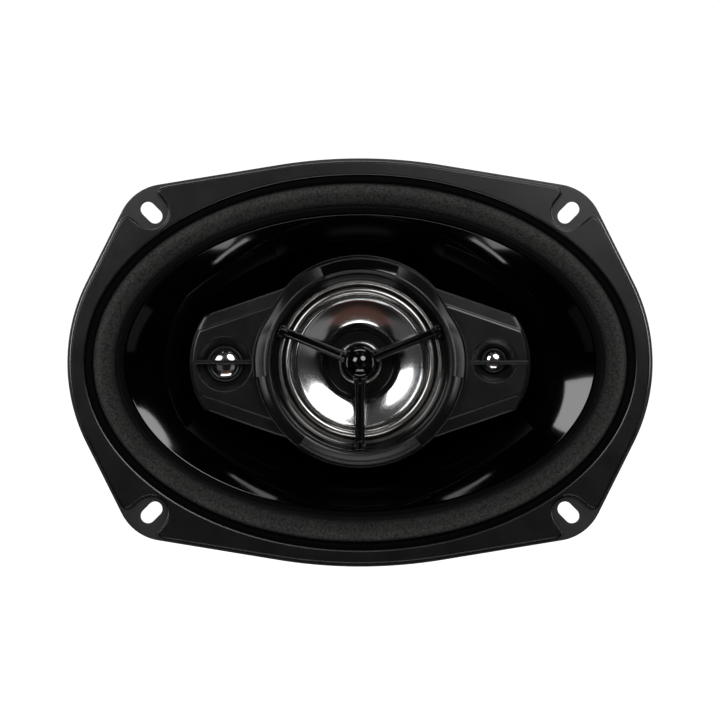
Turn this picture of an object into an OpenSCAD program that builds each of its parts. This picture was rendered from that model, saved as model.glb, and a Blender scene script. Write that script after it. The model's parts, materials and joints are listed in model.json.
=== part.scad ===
// Oval coaxial car speaker: a woofer, with a mid-range driver and two tweeters on a bridge over its cone.
// Millimetres. The listening side faces -Y, X runs along the long axis and Z is up.
// The origin is the centre of the mounting flange's rear face.
// Sub-parts are drawn in a plan frame (x right, y up, z towards the listener), which facing() stands upright.

/* [Flange] */
// Overall width of the flange
flange_w = 234.8; // [230:0.2:240]
// Overall height of the flange
flange_h = 163.8; // [160:0.2:168]
// Thickness of the pressed steel sheet
sheet_t = 1.2; // [1:0.1:1.5]
// Radius of the flange's left and right sides
side_r = 72; // [65:1:80]
// Radius of the flange's top and bottom edges
top_r = 204; // [190:1:230]
// Radius of the ears' corners
ear_r = 20; // [16:1:24]
// Slope of the straight edge below each ear, in degrees from upright
side_slope = 26.6; // [25:0.1:28]
// Slope of the straight edge beside each ear, in degrees from level
top_slope = 9.3; // [8.5:0.1:10]
// Distance between slot centres along X
slot_pitch_x = 167.2; // [165:0.1:169]
// Distance between slot centres along Z
slot_pitch_z = 120.2; // [118:0.1:122]
// Width of a screw slot
slot_w = 5.9; // [5.5:0.1:6.2]
// End-to-end length of a screw slot
slot_l = 9.9; // [9:0.1:11]

/* [Gasket] */
// Thickness of the trim gasket
gasket_t = 3; // [2.4:0.1:3.6]
// Distance from the flange's edge to the gasket's edge
gasket_inset = 1.2; // [0.8:0.1:2]
// Radius of the notch round each slot
notch_r = 6.2; // [5.5:0.1:7]

/* [Woofer] */
// Half length of the roll's outer edge
roll_a = 107.2; // [106:0.1:108]
// Half height of the roll's outer edge
roll_b = 72.4; // [71:0.1:73]
// Width of the half roll
roll_w = 9.6; // [9:0.1:10]
// Height of the half roll
roll_h = 4.4; // [3.8:0.1:5]
// Depth of the cone from its rim to its neck
cone_depth = 31; // [30:0.5:32]
// Outer radius of the voice coil's tube
former_r = 13.2; // [13.1:0.05:13.2]

/* [Motor] */
// Depth of the front plate's front face behind the flange
motor_z = 47; // [46.5:0.5:49]
// Thickness of the front plate and of the yoke's back plate
plate_t = 6; // [5:0.5:7]
// Thickness of the magnet
magnet_t = 18; // [16:1:20]
// Radius of the magnet
magnet_r = 47; // [46:0.5:50]
// Radius of the pole piece
pole_r = 12.5; // [12.3:0.1:12.5]

/* [Bridge] */
// Outer radius of the round bezel
bezel_r = 42.8; // [42:0.1:43]
// Height of the bezel's front above the flange's rear face
bezel_front = 17; // [16.5:0.5:18]
// Reach of each wing from the centre
wing_reach = 68.2; // [67:0.1:69]
// Height of the wings' front
wing_front = 7; // [6.5:0.1:7.5]
// Height of the wings' rear edge
wing_rear = -3; // [-3.2:0.1:-2.8]
// Angles of the guard's three spokes
spoke_angles = [22, 158, 270];

/* [Small drivers] */
// Radius of the mid-range cone
mid_r = 26.6; // [26.4:0.1:26.8]
// Place of the tweeter
tweeter_at = [-54.1, -0.6];
// Radius of the tweeter's dome
tweeter_r = 5.9; // [5.6:0.1:6]
// Place of the super tweeter
super_at = [53.7, 0.8];
// Radius of the super tweeter's dome
super_r = 3.6; // [3.5:0.1:3.8]

/* [Hidden] */
$fn = 96;
STATIONS = 96;          // facets round an oval
EPS = 0.01;
CUT = 100;              // longer than anything a cutter passes through
roll_t = 0.8;           // thickness of the surround's foam
arms = [[38, 15], [90, 32], [142, 15], [218, 15], [270, 32], [322, 15]];      // direction and width
shelf_z = -35;          // front of the spider's seat
shelf_r = 46.2;
cup_r = 40;             // outer radius of the basket's lower cup
plate_r = 44;
back_r = 43;
gap_r = 14.2;           // radius of the front plate's bore
rivet_r = 2;
rivet_circle = 30;
magnet_z = -motor_z - plate_t;
yoke_z = magnet_z - magnet_t;
rear_z = yoke_z - plate_t;
post_r = 7;
post_bore_r = 2.2;
wing_end_r = 32.2;      // radius of a wing's rounded end
wing_a = 71;            // direction that a wing's long edge faces
wing_d = 38.1;          // distance of that edge from the centre
shell_t = 1.6;
mid_ledge = 5;          // seat of the mid-range frame
mid_plate_t = 3;
mid_magnet_t = 8;
mid_pole_r = 13.2;
mid_gap_r = 14.6;
fit = 0.05;             // radial clearance of a shank in its hole
tab_x = 7;              // half distance between the two terminals
tab_y = -52;            // place of the terminals' rivets
lug_t = 0.8;            // lug that carries the terminal board
lug_z = shelf_z - 1;
board_z = lug_z;
board_t = 1.6;
tab_t = 0.8;

// ---- shapes ----

function unit(v) = v / norm(v);

function polar(r, a) = r * [cos(a), sin(a)];

function arc(centre, r, from, to, steps) =
    [for (i = [0:steps]) centre + polar(r, from + (to - from) * i / steps)];

function oval(a, b, start = 0) = [for (i = [0:STATIONS - 1])
    let (turn = 360 * (i + start) / STATIONS) [a * cos(turn), b * sin(turn)]];

// Meeting point of two lines, each given by the direction it faces and its distance from the origin.
function meeting(a1, d1, a2, d2) =
    [d1 * sin(a2) - d2 * sin(a1), d2 * cos(a1) - d1 * cos(a2)] / sin(a2 - a1);

// A full outline from its first quarter, whose ends lie on the axes.
function four_quarters(q) = let (n = len(q) - 1) concat(
    q,
    [for (i = [n - 1:-1:0]) [-q[i][0], q[i][1]]],
    [for (i = [1:n]) -q[i]],
    [for (i = [n - 1:-1:1]) [q[i][0], -q[i][1]]]
);

// The flange's outline, moved in by inset: a side arc, a straight, an ear, a straight and a top arc.
function flange_outline(inset) =
    let (
        side_c = [flange_w / 2 - side_r, 0],
        top_c = [0, flange_h / 2 - top_r],
        top_a = 90 - top_slope,
        side_d = side_c[0] * cos(side_slope) + side_r - ear_r,
        top_d = top_c[1] * sin(top_a) + top_r - ear_r,
        ear_c = meeting(side_slope, side_d, top_a, top_d)
    )
    four_quarters(concat(
        arc(side_c, side_r - inset, 0, side_slope, 8),
        arc(ear_c, ear_r - inset, side_slope, top_a, 12),
        arc(top_c, top_r - inset, top_a, 90, 6)
    ));

// A wing outline, moved in by inset: a rounded end at each side and two long edges that meet over the centre.
function wing_outline(inset) =
    let (
        centre_x = wing_reach - wing_end_r,
        end_r = wing_end_r - inset,
        edge_d = wing_d - inset,
        end_a = wing_a - acos((edge_d - centre_x * cos(wing_a)) / end_r)
    )
    four_quarters(concat(arc([centre_x, 0], end_r, 0, end_a, 8), [[0, edge_d / sin(wing_a)]]));

module facing() {
    rotate([90, 0, 0]) children();
}

// At each slot's centre, with x running outwards along the slot.
module at_corners() {
    for (sx = [-1, 1], sy = [-1, 1])
        translate([sx * slot_pitch_x / 2, sy * slot_pitch_z / 2]) rotate(atan2(sy, sx)) children();
}

// Ring between two radii, from height z0 to z1.
module ring(outer, inner, z0, z1) {
    rotate_extrude() translate([inner, z0]) square([outer - inner, z1 - z0]);
}

// Closed skin round the axis. Each section point gives an oval's half length, half height and z,
// and the section runs round the wall, anticlockwise with the radius to the right and z up.
module oval_skin(section) {
    m = len(section);
    points = [for (i = [0:STATIONS - 1], s = section)
        [s[0] * cos(360 * i / STATIONS), s[1] * sin(360 * i / STATIONS), s[2]]];
    function at(i, j) = (i % STATIONS) * m + j % m;
    faces = [for (i = [0:STATIONS - 1], j = [0:m - 1])
        for (f = [[at(i, j), at(i, j + 1), at(i + 1, j + 1)], [at(i, j), at(i + 1, j + 1), at(i + 1, j)]]) f];
    polyhedron(points, faces);
}

// Round lead swept along a path that keeps its x.
module lead(path, r, sides = 8) {
    n = len(path);
    points = [for (i = [0:n - 1])
        let (along = unit(path[min(i + 1, n - 1)] - path[max(i - 1, 0)]), side = cross(along, [1, 0, 0]))
        for (j = [0:sides - 1]) path[i] + r * (cos(360 * j / sides) * side + sin(360 * j / sides) * [1, 0, 0])];
    walls = [for (i = [0:n - 2], j = [0:sides - 1])
        let (k = (j + 1) % sides)
        [i * sides + j, (i + 1) * sides + j, (i + 1) * sides + k, i * sides + k]];
    ends = [[for (j = [0:sides - 1]) j], [for (j = [sides - 1:-1:0]) (n - 1) * sides + j]];
    polyhedron(points, concat(walls, ends));
}

// Sector of a ring profile, centred on an angle.
module sector(centre_a, half_a) {
    rotate(centre_a - half_a) rotate_extrude(angle = 2 * half_a) children();
}

// ---- frame ----

module slots() {
    at_corners() {
        for (end = [-1, 1]) translate([end * (slot_l - slot_w) / 2, 0, -CUT / 2]) cylinder(d = slot_w, h = CUT);
        translate([-(slot_l - slot_w) / 2, -slot_w / 2, -CUT / 2]) cube([slot_l - slot_w, slot_w, CUT]);
    }
}

// The pressed cage, before its windows are cut: from the flange down the sloping wall to the spider's seat,
// then the round cup that stands on the front plate.
module cage() {
    top = sheet_t / 2;
    foot_r = 15.5;
    oval_skin([
        [roll_a, roll_b, top],
        [roll_a, roll_b, -1.6],
        [103, 68, -8.4],
        [shelf_r - 0.6, shelf_r - 0.6, shelf_z],
        [cup_r - 1, cup_r - 1, shelf_z],
        [cup_r - 1, cup_r - 1, -motor_z + 1],
        [foot_r, foot_r, -motor_z + 1],
        [foot_r, foot_r, -motor_z],
        [cup_r, cup_r, -motor_z],
        [cup_r, cup_r, shelf_z - sheet_t],
        [shelf_r, shelf_r, shelf_z - sheet_t],
        [104.2, 69.2, -9],
        [roll_a + 1.2, roll_b + 1.2, -2],
        [roll_a + 1.2, roll_b + 1.2, top]
    ]);
}

module windows() {
    difference() {
        translate([0, 0, shelf_z + 1.5]) linear_extrude(-shelf_z - 13) polygon(oval(97, 65.5, 0.5));
        translate([0, 0, -CUT / 2]) cylinder(r = shelf_r + 3, h = CUT);
        for (arm = arms) rotate(arm[0]) translate([0, -arm[1] / 2, -CUT / 2]) cube([CUT + 20, arm[1], CUT]);
    }
}

module basket() {
    color("#1b1c1e") facing() difference() {
        union() {
            difference() {
                linear_extrude(sheet_t) polygon(flange_outline(0));
                translate([0, 0, -CUT / 2]) linear_extrude(CUT) polygon(oval(roll_a + 0.4, roll_b + 0.4));
                slots();
            }
            difference() {
                cage();
                windows();
                translate([-9.5, -55, shelf_z + 1]) cube([19, 7, 20]);
            }
            translate([-13, -62, lug_z]) cube([26, 19, lug_t]);
        }
        for (a = [45:90:315]) rotate(a) translate([rivet_circle, 0, -CUT]) cylinder(r = rivet_r + fit, h = CUT);
        for (s = [-1, 1]) translate([s * tab_x, tab_y, -CUT]) cylinder(r = 1.25, h = CUT - 30);
    }
}

module trim_gasket() {
    color("#242527") facing() difference() {
        translate([0, 0, sheet_t]) linear_extrude(gasket_t) polygon(flange_outline(gasket_inset));
        translate([0, 0, sheet_t - 1]) linear_extrude(gasket_t + 2) polygon(oval(roll_a + 3, roll_b + 2.6));
        translate([0, 0, sheet_t - 1]) linear_extrude(roll_t + 1.2) polygon(oval(roll_a + 5.6, roll_b + 4.6));
        at_corners() translate([0, 0, -CUT / 2]) {
            cylinder(r = notch_r, h = CUT);
            linear_extrude(CUT) polygon([[0, -notch_r], [24, -notch_r - 9], [24, notch_r + 9], [0, notch_r]]);
        }
    }
}

// ---- woofer ----

// Half roll between a glued edge on the flange and a glued lip on the cone's rim.
module surround() {
    mid_a = roll_a - roll_w / 2;
    mid_b = roll_b - roll_w / 2;
    steps = 7;
    lip_z = 0.3;
    function rolled(r, h) = [for (i = [0:steps]) let (a = 180 * i / steps)
        [r * cos(a), lip_z + (sheet_t - lip_z) * (1 + cos(a)) / 2 + h * sin(a)]];
    top = rolled(roll_w / 2, roll_h);
    under = rolled(roll_w / 2 - roll_t, roll_h);
    color("#2c2c2c") facing() oval_skin(concat(
        [[roll_a + 5.2, roll_b + 4.2, sheet_t], [roll_a + 5.2, roll_b + 4.2, sheet_t + roll_t]],
        [for (p = top) [mid_a + p[0], mid_b + p[0], p[1] + roll_t]],
        [[94.6, 59.8, lip_z + roll_t], [94.6, 59.8, lip_z]],
        [for (i = [steps:-1:0]) [mid_a + under[i][0], mid_b + under[i][0], under[i][1]]]
    ));
}

module woofer_cone() {
    rim_a = 96.4;
    rim_b = 61.6;
    neck = former_r + 0.1;
    color("#08080a") facing() oval_skin([
        [rim_a, rim_b, -0.8],
        [rim_a, rim_b, 0],
        [rim_a - 2.2, rim_b - 2.2, 0],
        [neck, neck, -cone_depth],
        [neck, neck, -cone_depth - 2.5],
        [neck + 0.8, neck + 0.8, -cone_depth - 2.5],
        [neck + 0.8, neck + 0.8, -cone_depth - 0.6],
        [rim_a - 1.6, rim_b - 1.6, -0.8]
    ]);
}

module voice_coil_former() {
    color("#b8a27a") facing() ring(former_r, former_r - 0.3, -motor_z - 9, -cone_depth + 1);
}

module voice_coil() {
    color("#b0632c") facing() ring(former_r + 0.5, former_r + 0.02, -motor_z - 9, -motor_z + 3);
}

// Corrugated disc: a sheet whose height waves with the radius, flat at its glued edges.
module spider() {
    t = 0.5;
    inner = former_r + 0.3;
    outer = shelf_r - 1.6;
    waves = 5;
    steps = 30;
    function wave(r) = r < 16 || r > 38.5 ? 0 : 1.1 * sin(360 * waves * (r - 16) / 22.5);
    radii = concat([inner], [for (i = [0:steps]) 16 + 22.5 * i / steps], [outer]);
    color("#c59a3c") facing() rotate_extrude() polygon(concat(
        [for (r = radii) [r, shelf_z + wave(r)]],
        [for (i = [len(radii) - 1:-1:0]) [radii[i], shelf_z + t + wave(radii[i])]]
    ));
}

// ---- motor ----

module front_plate() {
    color("#8e9092") facing() difference() {
        ring(plate_r, gap_r, magnet_z, -motor_z);
        for (a = [45:90:315]) rotate(a) translate([rivet_circle, 0, magnet_z + 1.5])
            cylinder(r = rivet_r + fit, h = CUT);
    }
}

module magnet() {
    color("#33353a") facing() ring(magnet_r, 22, yoke_z, magnet_z);
}

module yoke() {
    color("#8e9092") facing() difference() {
        union() {
            translate([0, 0, rear_z]) cylinder(r = back_r, h = plate_t);
            translate([0, 0, rear_z]) cylinder(r = pole_r, h = plate_t + magnet_t + plate_t);
        }
        translate([0, 0, rear_z - 1]) cylinder(r = 4, h = CUT);
        translate([-3.5, -back_r - 1, rear_z - 1]) cube([7, back_r + 1, 3.2]);
    }
}

module plate_rivets() {
    color("#9a9c9e") facing() for (a = [45:90:315]) rotate(a) translate([rivet_circle, 0, 0]) {
        translate([0, 0, magnet_z + 1.6]) cylinder(r = rivet_r, h = plate_t - 0.5);
        translate([0, 0, -motor_z + 1.1]) cylinder(r1 = 3.4, r2 = 2.4, h = 1.4);
    }
}

// ---- terminals and leads ----

module tab_hole() {
    translate([0, tab_y, -CUT / 2]) cylinder(r = 1.25, h = CUT);
}

module terminal_board() {
    color("#7a4a22") facing() difference() {
        translate([-14, -60, board_z - board_t]) cube([28, 13, board_t]);
        for (s = [-1, 1]) translate([s * tab_x, 0, 0]) tab_hole();
    }
}

module terminal_tab(width) {
    difference() {
        union() {
            translate([-2.6, tab_y - 2.6, board_z - board_t - tab_t]) cube([5.2, 5.2, tab_t]);
            translate([-width / 2, -69, board_z - board_t - tab_t]) cube([width, 16, tab_t]);
        }
        tab_hole();
        translate([0, -65.5, -CUT / 2]) cylinder(r = 0.7, h = CUT);
    }
}

module positive_terminal() {
    color("#d8d4c4") facing() translate([tab_x, 0, 0]) terminal_tab(4.8);
}

module negative_terminal() {
    color("#d8d4c4") facing() translate([-tab_x, 0, 0]) terminal_tab(2.8);
}

module terminal_rivets() {
    low = board_z - board_t - tab_t;
    color("#b9b4a2") facing() for (s = [-1, 1]) translate([s * tab_x, tab_y, 0]) {
        translate([0, 0, low - 0.9]) cylinder(r = 2.1, h = 0.85);
        translate([0, 0, low - 0.5]) cylinder(r = 1.2, h = shelf_z - low + 1);
        translate([0, 0, lug_z + lug_t + 0.05]) cylinder(r = 2.1, h = 0.8);
    }
}

tinsel_route = [
    [-52, -33.9], [-51.9, -31.5], [-51.2, -28.8], [-49.6, -26.4], [-47, -24.8], [-43.6, -24.4], [-40, -25],
    [-36.6, -26.2], [-33.4, -27], [-30.6, -26.8], [-28.4, -25.6], [-27.4, -24.4]
];

module tinsel_leads() {
    color("#c8b070") facing() for (s = [-1, 1])
        lead([for (p = tinsel_route) [s * tab_x, p[0], p[1]]], 0.9);
}

bridge_lead_route = [
    [0, -16], [0, -30], [0, -45], [0, -60], [0, -72], [-0.4, -74], [-1.6, -75.4], [-3.6, -76], [-14, -76],
    [-30, -76], [-42, -76], [-46, -75.6], [-48.4, -74], [-49.4, -71], [-49.6, -60], [-49.6, -48], [-49.6, -38.1]
];

module bridge_leads() {
    color("#a01818") facing() for (s = [-1, 1])
        lead([for (p = bridge_lead_route) [s * 0.85, p[0], p[1]]], 0.7);
}

// ---- bridge ----

module bridge_post() {
    color("#202022") facing() difference() {
        union() {
            translate([0, 0, -motor_z]) cylinder(r = post_r, h = motor_z - 21.5);
            translate([0, 0, -motor_z]) cylinder(r = post_r + 2.5, h = 2);
            translate([0, 0, -26.2]) cylinder(r = 10, h = 1.8);
            translate([0, 0, -motor_z - 14]) cylinder(r = 3.95, h = 15);
        }
        translate([0, 0, -CUT]) cylinder(r = post_bore_r, h = CUT);
    }
}

module bridge_base() {
    color("#141416") facing() difference() {
        union() {
            rotate_extrude() polygon([
                [post_r + fit, -24.3], [10.8, -24.3], [20, -19], [30, -12.5], [40.4, -4.4], [42.4, -4.4],
                [42.4, wing_rear - fit], [40.2, wing_rear - fit], [29.4, -11.2], [19.4, -17.4], [10.4, -22.4],
                [post_r + fit, -22.4]
            ]);
            difference() {
                translate([0, 0, wing_rear - 1.2]) linear_extrude(1.2 - fit) polygon(wing_outline(0.6));
                translate([0, 0, -CUT / 2]) cylinder(r = 40.3, h = CUT);
            }
        }
        translate([tweeter_at[0], tweeter_at[1], -CUT / 2]) cylinder(r = tweeter_r + 1.5, h = CUT);
        translate([super_at[0], super_at[1], -CUT / 2]) cylinder(r = super_r + 1.7, h = CUT);
    }
}

// Recess and well for a small driver: a flared mouth over a straight bore.
module driver_well(place, well_r, mouth_r) {
    translate([place[0], place[1], 0]) {
        translate([0, 0, -CUT / 2]) cylinder(r = well_r, h = CUT / 2 + 2);
        translate([0, 0, 1.6]) cylinder(r1 = well_r, r2 = mouth_r, h = wing_front - 1.6 + EPS);
    }
}

module bezel() {
    rotate_extrude() polygon([
        [41.4, wing_rear], [bezel_r, wing_rear], [bezel_r, 10.5], [40.8, 15.6], [36.4, bezel_front],
        [35.2, 15.8], [34.4, mid_ledge], [32, mid_ledge], [32, mid_ledge - 1.4], [35.8, mid_ledge - 1.4],
        [36.6, 14.6], [39.8, 14], [41.4, 10.2]
    ]);
}

module wings() {
    difference() {
        union() {
            difference() {
                translate([0, 0, wing_rear]) linear_extrude(wing_front - wing_rear) polygon(wing_outline(0));
                translate([0, 0, wing_rear - 1]) linear_extrude(wing_front - wing_rear + 1 - shell_t)
                    polygon(wing_outline(shell_t));
            }
            translate([tweeter_at[0], tweeter_at[1], wing_rear]) cylinder(r = 11.4, h = wing_front - wing_rear);
            translate([super_at[0], super_at[1], wing_rear]) cylinder(r = 9.8, h = wing_front - wing_rear);
        }
        driver_well(tweeter_at, tweeter_r + 1.5, 10.4);
        driver_well(super_at, super_r + 1.7, 8.8);
        translate([0, 0, -CUT / 2]) cylinder(r = 41.9, h = CUT);
    }
}

module guard_bars() {
    bar_t = 1.7;
    translate([-66.6, tweeter_at[1] - bar_t / 2 + 0.8, wing_front - 1.6]) cube([24.4, bar_t, 2]);
    translate([42.2, super_at[1] - bar_t / 2 - 0.8, wing_front - 1.6]) cube([24.4, bar_t, 2]);
}

module bridge_housing() {
    color("#18181a") facing() difference() {
        union() {
            bezel();
            wings();
            guard_bars();
        }
        sector(90, 23) translate([34, 15]) square([8, 5]);
        sector(270, 37.2) translate([36.8, 14.9]) square([5, 5]);
    }
}

module badge_plate() {
    color("#050506") facing() sector(90, 22.8)
        polygon([[35.4, 15.05], [41.02, 15.05], [40.9, 15.6], [36.4, bezel_front], [35.6, 16.4]]);
}

module lower_trim() {
    color("#303033") facing() sector(270, 37)
        polygon([[36.85, 14.95], [41.05, 14.95], [40.9, 15.8], [39.6, 16.2], [39.4, 15.6], [36.85, 16.2]]);
}

module spoke_guard() {
    low = 11;
    rail_w = 1.2;
    reach = 34.3;
    hub_r = 6.5;
    color("#101012") facing() {
        translate([0, 0, 9.6]) cylinder(r = hub_r, h = 2.4);
        intersection() {
            translate([0, 0, 6.2]) sphere(r = 8.6);
            translate([0, 0, 11.9]) cylinder(r = hub_r, h = 10);
        }
        for (a = spoke_angles) rotate(a) {
            for (s = [-1, 1]) translate([5, s * 1.25 - rail_w / 2, low]) cube([reach - 5, rail_w, 2.2]);
            translate([5, -1, low]) cube([reach - 5, 2, 1]);
            translate([reach - 2.5, -2.5, 7]) cube([2.5, 5, 6.2]);
        }
    }
}

module crossover_capacitors() {
    color("#2a4f8c") facing() {
        translate([-57, 15.6, 0.9]) rotate([0, 90, 0]) cylinder(r = 3.2, h = 13);
        translate([44, 15.6, 0.9]) rotate([0, 90, 0]) cylinder(r = 3.2, h = 13);
    }
}

// ---- mid-range driver ----

module mid_frame() {
    color("#6f7174") facing() rotate_extrude() polygon([
        [34.2, mid_ledge], [34.2, 6.2], [30.4, 6.2], [22.4, 0], [15.2, 0], [15.2, -1], [22.8, -1], [31, mid_ledge]
    ]);
}

module mid_surround() {
    roll_c = (mid_r + 4 + mid_r + 0.2) / 2;
    half = 1.9;
    steps = 10;
    t = 0.4;
    function bump(r, a) = [roll_c + r * cos(a), 6.6 + r * sin(a)];
    color("#b9babd") facing() rotate_extrude() polygon(concat(
        [[33.8, 6.25], [33.8, 6.25 + t]],
        [for (i = [0:steps]) bump(half + t, 8 + 172 * i / steps)],
        [[25.6, 6.6 + t], [25.6, 6.6]],
        [for (i = [steps:-1:0]) bump(half, 2 + 176 * i / steps)],
        [[roll_c + half, 6.25]]
    ));
}

module mid_cone() {
    neck = 14.1;
    color("#d9dadc") facing() rotate_extrude() polygon([
        [mid_r, 5.8], [mid_r, 6.2], [25.2, 6.2], [20, 4.6], [16.6, 2.9], [14.5, 1.2], [neck, 0.7],
        [neck, 0.2], [14.8, 0.8], [17, 2.5], [20.2, 4.2], [25.3, 5.8]
    ]);
}

module mid_coil() {
    color("#b0632c") facing() {
        ring(13.9, 13.6, -5.5, 1.2);
        ring(14.1, 13.9, -5.5, -0.5);
    }
}

module mid_top_plate() {
    color("#8e9092") facing() ring(22.4, mid_gap_r, -1 - mid_plate_t, -1.02);
}

module mid_magnet() {
    color("#33353a") facing() ring(22.4, 16.8, -1.02 - mid_plate_t - mid_magnet_t, -1.02 - mid_plate_t);
}

module mid_yoke() {
    low = -1.04 - mid_plate_t - mid_magnet_t;
    color("#26272a") facing() union() {
        translate([0, 0, low - 2.6]) cylinder(r = 21.6, h = 2.6);
        translate([0, 0, low - 0.1]) cylinder(r = mid_pole_r, h = -low + 0.1);
    }
}

module phase_plug() {
    color("#0c0c0d") facing() translate([0, 0, 0.02]) cylinder(r1 = 6.6, r2 = 5, h = 9.5);
}

module plug_ring() {
    color("#cfd0d2") facing() rotate_extrude() polygon([
        [6.9, 0.05], [9.1, 0.05], [8.9, 1.4], [8.1, 2.2], [7.3, 1.8], [6.9, 1.2]
    ]);
}

// ---- dome drivers ----

// Thin dome on a base ring of radius r, its rim at height 1.2.
module dome(r, rise) {
    t = 0.3;
    rim_z = 1.2;
    ball = (r * r + rise * rise) / (2 * rise);
    translate([0, 0, rim_z]) difference() {
        intersection() {
            translate([0, 0, rise - ball]) sphere(r = ball);
            cylinder(r = r, h = rise + 1);
        }
        intersection() {
            translate([0, 0, rise - ball]) sphere(r = ball - t);
            translate([0, 0, -1]) cylinder(r = r - t, h = rise + 2);
        }
    }
}

module dome_coil(r) {
    ring(r - 0.4, r - 0.7, -3, 1.24);
}

module dome_plate(r) {
    translate([0, 0, -2.8]) cylinder(r = r - 1.1, h = 1.6);
}

module dome_magnet(r) {
    translate([0, 0, -5.5]) cylinder(r = r - 1.3, h = 2.68);
}

module dome_pot(r) {
    ring(r + 1.4, r + 0.3, -5.6, 0.6);
    translate([0, 0, -6.8]) cylinder(r = r + 1.4, h = 1.25);
}

module dome_ring(r) {
    rotate_extrude() polygon([[r + 0.35, 0.65], [r + 1.4, 0.65], [r + 1.4, 1.5], [r + 0.9, 1.9], [r + 0.35, 1.6]]);
}

module at_tweeter() {
    facing() translate([tweeter_at[0], tweeter_at[1], 0]) children();
}

module at_super() {
    facing() translate([super_at[0], super_at[1], 0]) children();
}

module tweeter_dome() {
    color("#dcdde0") at_tweeter() dome(tweeter_r, 3.6);
}

module tweeter_coil() {
    color("#b0632c") at_tweeter() dome_coil(tweeter_r);
}

module tweeter_plate() {
    color("#8e9092") at_tweeter() dome_plate(tweeter_r);
}

module tweeter_magnet() {
    color("#a7a9ad") at_tweeter() dome_magnet(tweeter_r);
}

module tweeter_pot() {
    color("#6f7174") at_tweeter() dome_pot(tweeter_r);
}

module tweeter_ring() {
    color("#1c1c1e") at_tweeter() dome_ring(tweeter_r);
}

module super_tweeter_dome() {
    color("#dcdde0") at_super() dome(super_r, 2.4);
}

module super_tweeter_coil() {
    color("#b0632c") at_super() dome_coil(super_r);
}

module super_tweeter_plate() {
    color("#8e9092") at_super() dome_plate(super_r);
}

module super_tweeter_magnet() {
    color("#a7a9ad") at_super() dome_magnet(super_r);
}

module super_tweeter_pot() {
    color("#6f7174") at_super() dome_pot(super_r);
}

module super_tweeter_ring() {
    color("#1c1c1e") at_super() dome_ring(super_r);
}

basket();
trim_gasket();
surround();
woofer_cone();
voice_coil_former();
voice_coil();
spider();
front_plate();
magnet();
yoke();
plate_rivets();
terminal_board();
positive_terminal();
negative_terminal();
terminal_rivets();
tinsel_leads();
bridge_post();
bridge_base();
bridge_housing();
badge_plate();
lower_trim();
spoke_guard();
bridge_leads();
crossover_capacitors();
mid_frame();
mid_surround();
mid_cone();
mid_coil();
mid_top_plate();
mid_magnet();
mid_yoke();
phase_plug();
plug_ring();
tweeter_dome();
tweeter_coil();
tweeter_plate();
tweeter_magnet();
tweeter_pot();
tweeter_ring();
super_tweeter_dome();
super_tweeter_coil();
super_tweeter_plate();
super_tweeter_magnet();
super_tweeter_pot();
super_tweeter_ring();
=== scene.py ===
"""An oval coaxial car speaker, standing upright with its listening side towards -Y.

Sizes are millimetres in a plan frame: x right, y up, z towards the listener, as the part's source has them.
stand_up() turns plan points into metres in the shared frame.
"""

import json
import logging
from dataclasses import dataclass
from enum import Enum
from typing import Callable, Iterable, Optional, Sequence

import bmesh
import bpy
import numpy as np
from mathutils import Matrix

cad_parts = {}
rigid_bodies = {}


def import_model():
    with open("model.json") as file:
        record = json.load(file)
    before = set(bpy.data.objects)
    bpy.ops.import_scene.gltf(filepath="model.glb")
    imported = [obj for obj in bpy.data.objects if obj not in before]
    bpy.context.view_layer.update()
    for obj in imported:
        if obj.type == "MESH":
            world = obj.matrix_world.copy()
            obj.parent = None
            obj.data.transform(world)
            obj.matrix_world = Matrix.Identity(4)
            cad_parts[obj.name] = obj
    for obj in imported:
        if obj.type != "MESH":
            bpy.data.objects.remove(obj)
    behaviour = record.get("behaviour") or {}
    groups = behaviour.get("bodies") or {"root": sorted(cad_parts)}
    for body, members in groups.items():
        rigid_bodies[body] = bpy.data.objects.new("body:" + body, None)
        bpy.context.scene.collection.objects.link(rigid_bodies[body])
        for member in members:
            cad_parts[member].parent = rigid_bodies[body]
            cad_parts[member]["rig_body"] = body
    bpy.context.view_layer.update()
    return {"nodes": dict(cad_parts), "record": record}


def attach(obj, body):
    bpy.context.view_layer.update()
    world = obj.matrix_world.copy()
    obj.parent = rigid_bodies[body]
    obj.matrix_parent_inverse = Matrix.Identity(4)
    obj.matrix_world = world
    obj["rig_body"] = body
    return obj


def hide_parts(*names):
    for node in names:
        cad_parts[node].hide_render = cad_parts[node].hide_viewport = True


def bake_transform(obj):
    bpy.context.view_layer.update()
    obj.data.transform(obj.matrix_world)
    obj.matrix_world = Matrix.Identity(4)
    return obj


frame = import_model()

MM = 0.001
CREASE = 38  # degrees of bend from which an edge stays sharp
FLAT_WITHIN = 0.6  # degrees of bend below which facets are joined
log = logging.getLogger("speaker")

Colour = tuple[float, float, float]
Point = tuple[float, float]
Levels = Sequence[Point]
Piece = bpy.types.Object

TWEETER_AT: Point = (-54.1, -0.6)
SUPER_TWEETER_AT: Point = (53.7, 0.8)


# ---- surfaces as whole arrays ----


def stand_up(plan: np.ndarray) -> np.ndarray:
    """Plan points in millimetres as points in metres in the shared frame: X = x, Y = -z, Z = y."""
    return np.stack([plan[..., 0], -plan[..., 2], plan[..., 1]], -1) * MM


def polar(radius: float, degrees: np.ndarray) -> np.ndarray:
    """Points at one distance from the origin, in the given directions."""
    turn = np.radians(degrees)
    return radius * np.stack([np.cos(turn), np.sin(turn)], -1)


def arc(centre: Point, radius: float, start: float, end: float, steps: int) -> np.ndarray:
    """Points on a circle's arc, both ends kept: centre + radius (cos t, sin t), t running evenly from start to end."""
    return np.asarray(centre) + polar(radius, np.linspace(start, end, steps + 1))


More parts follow.
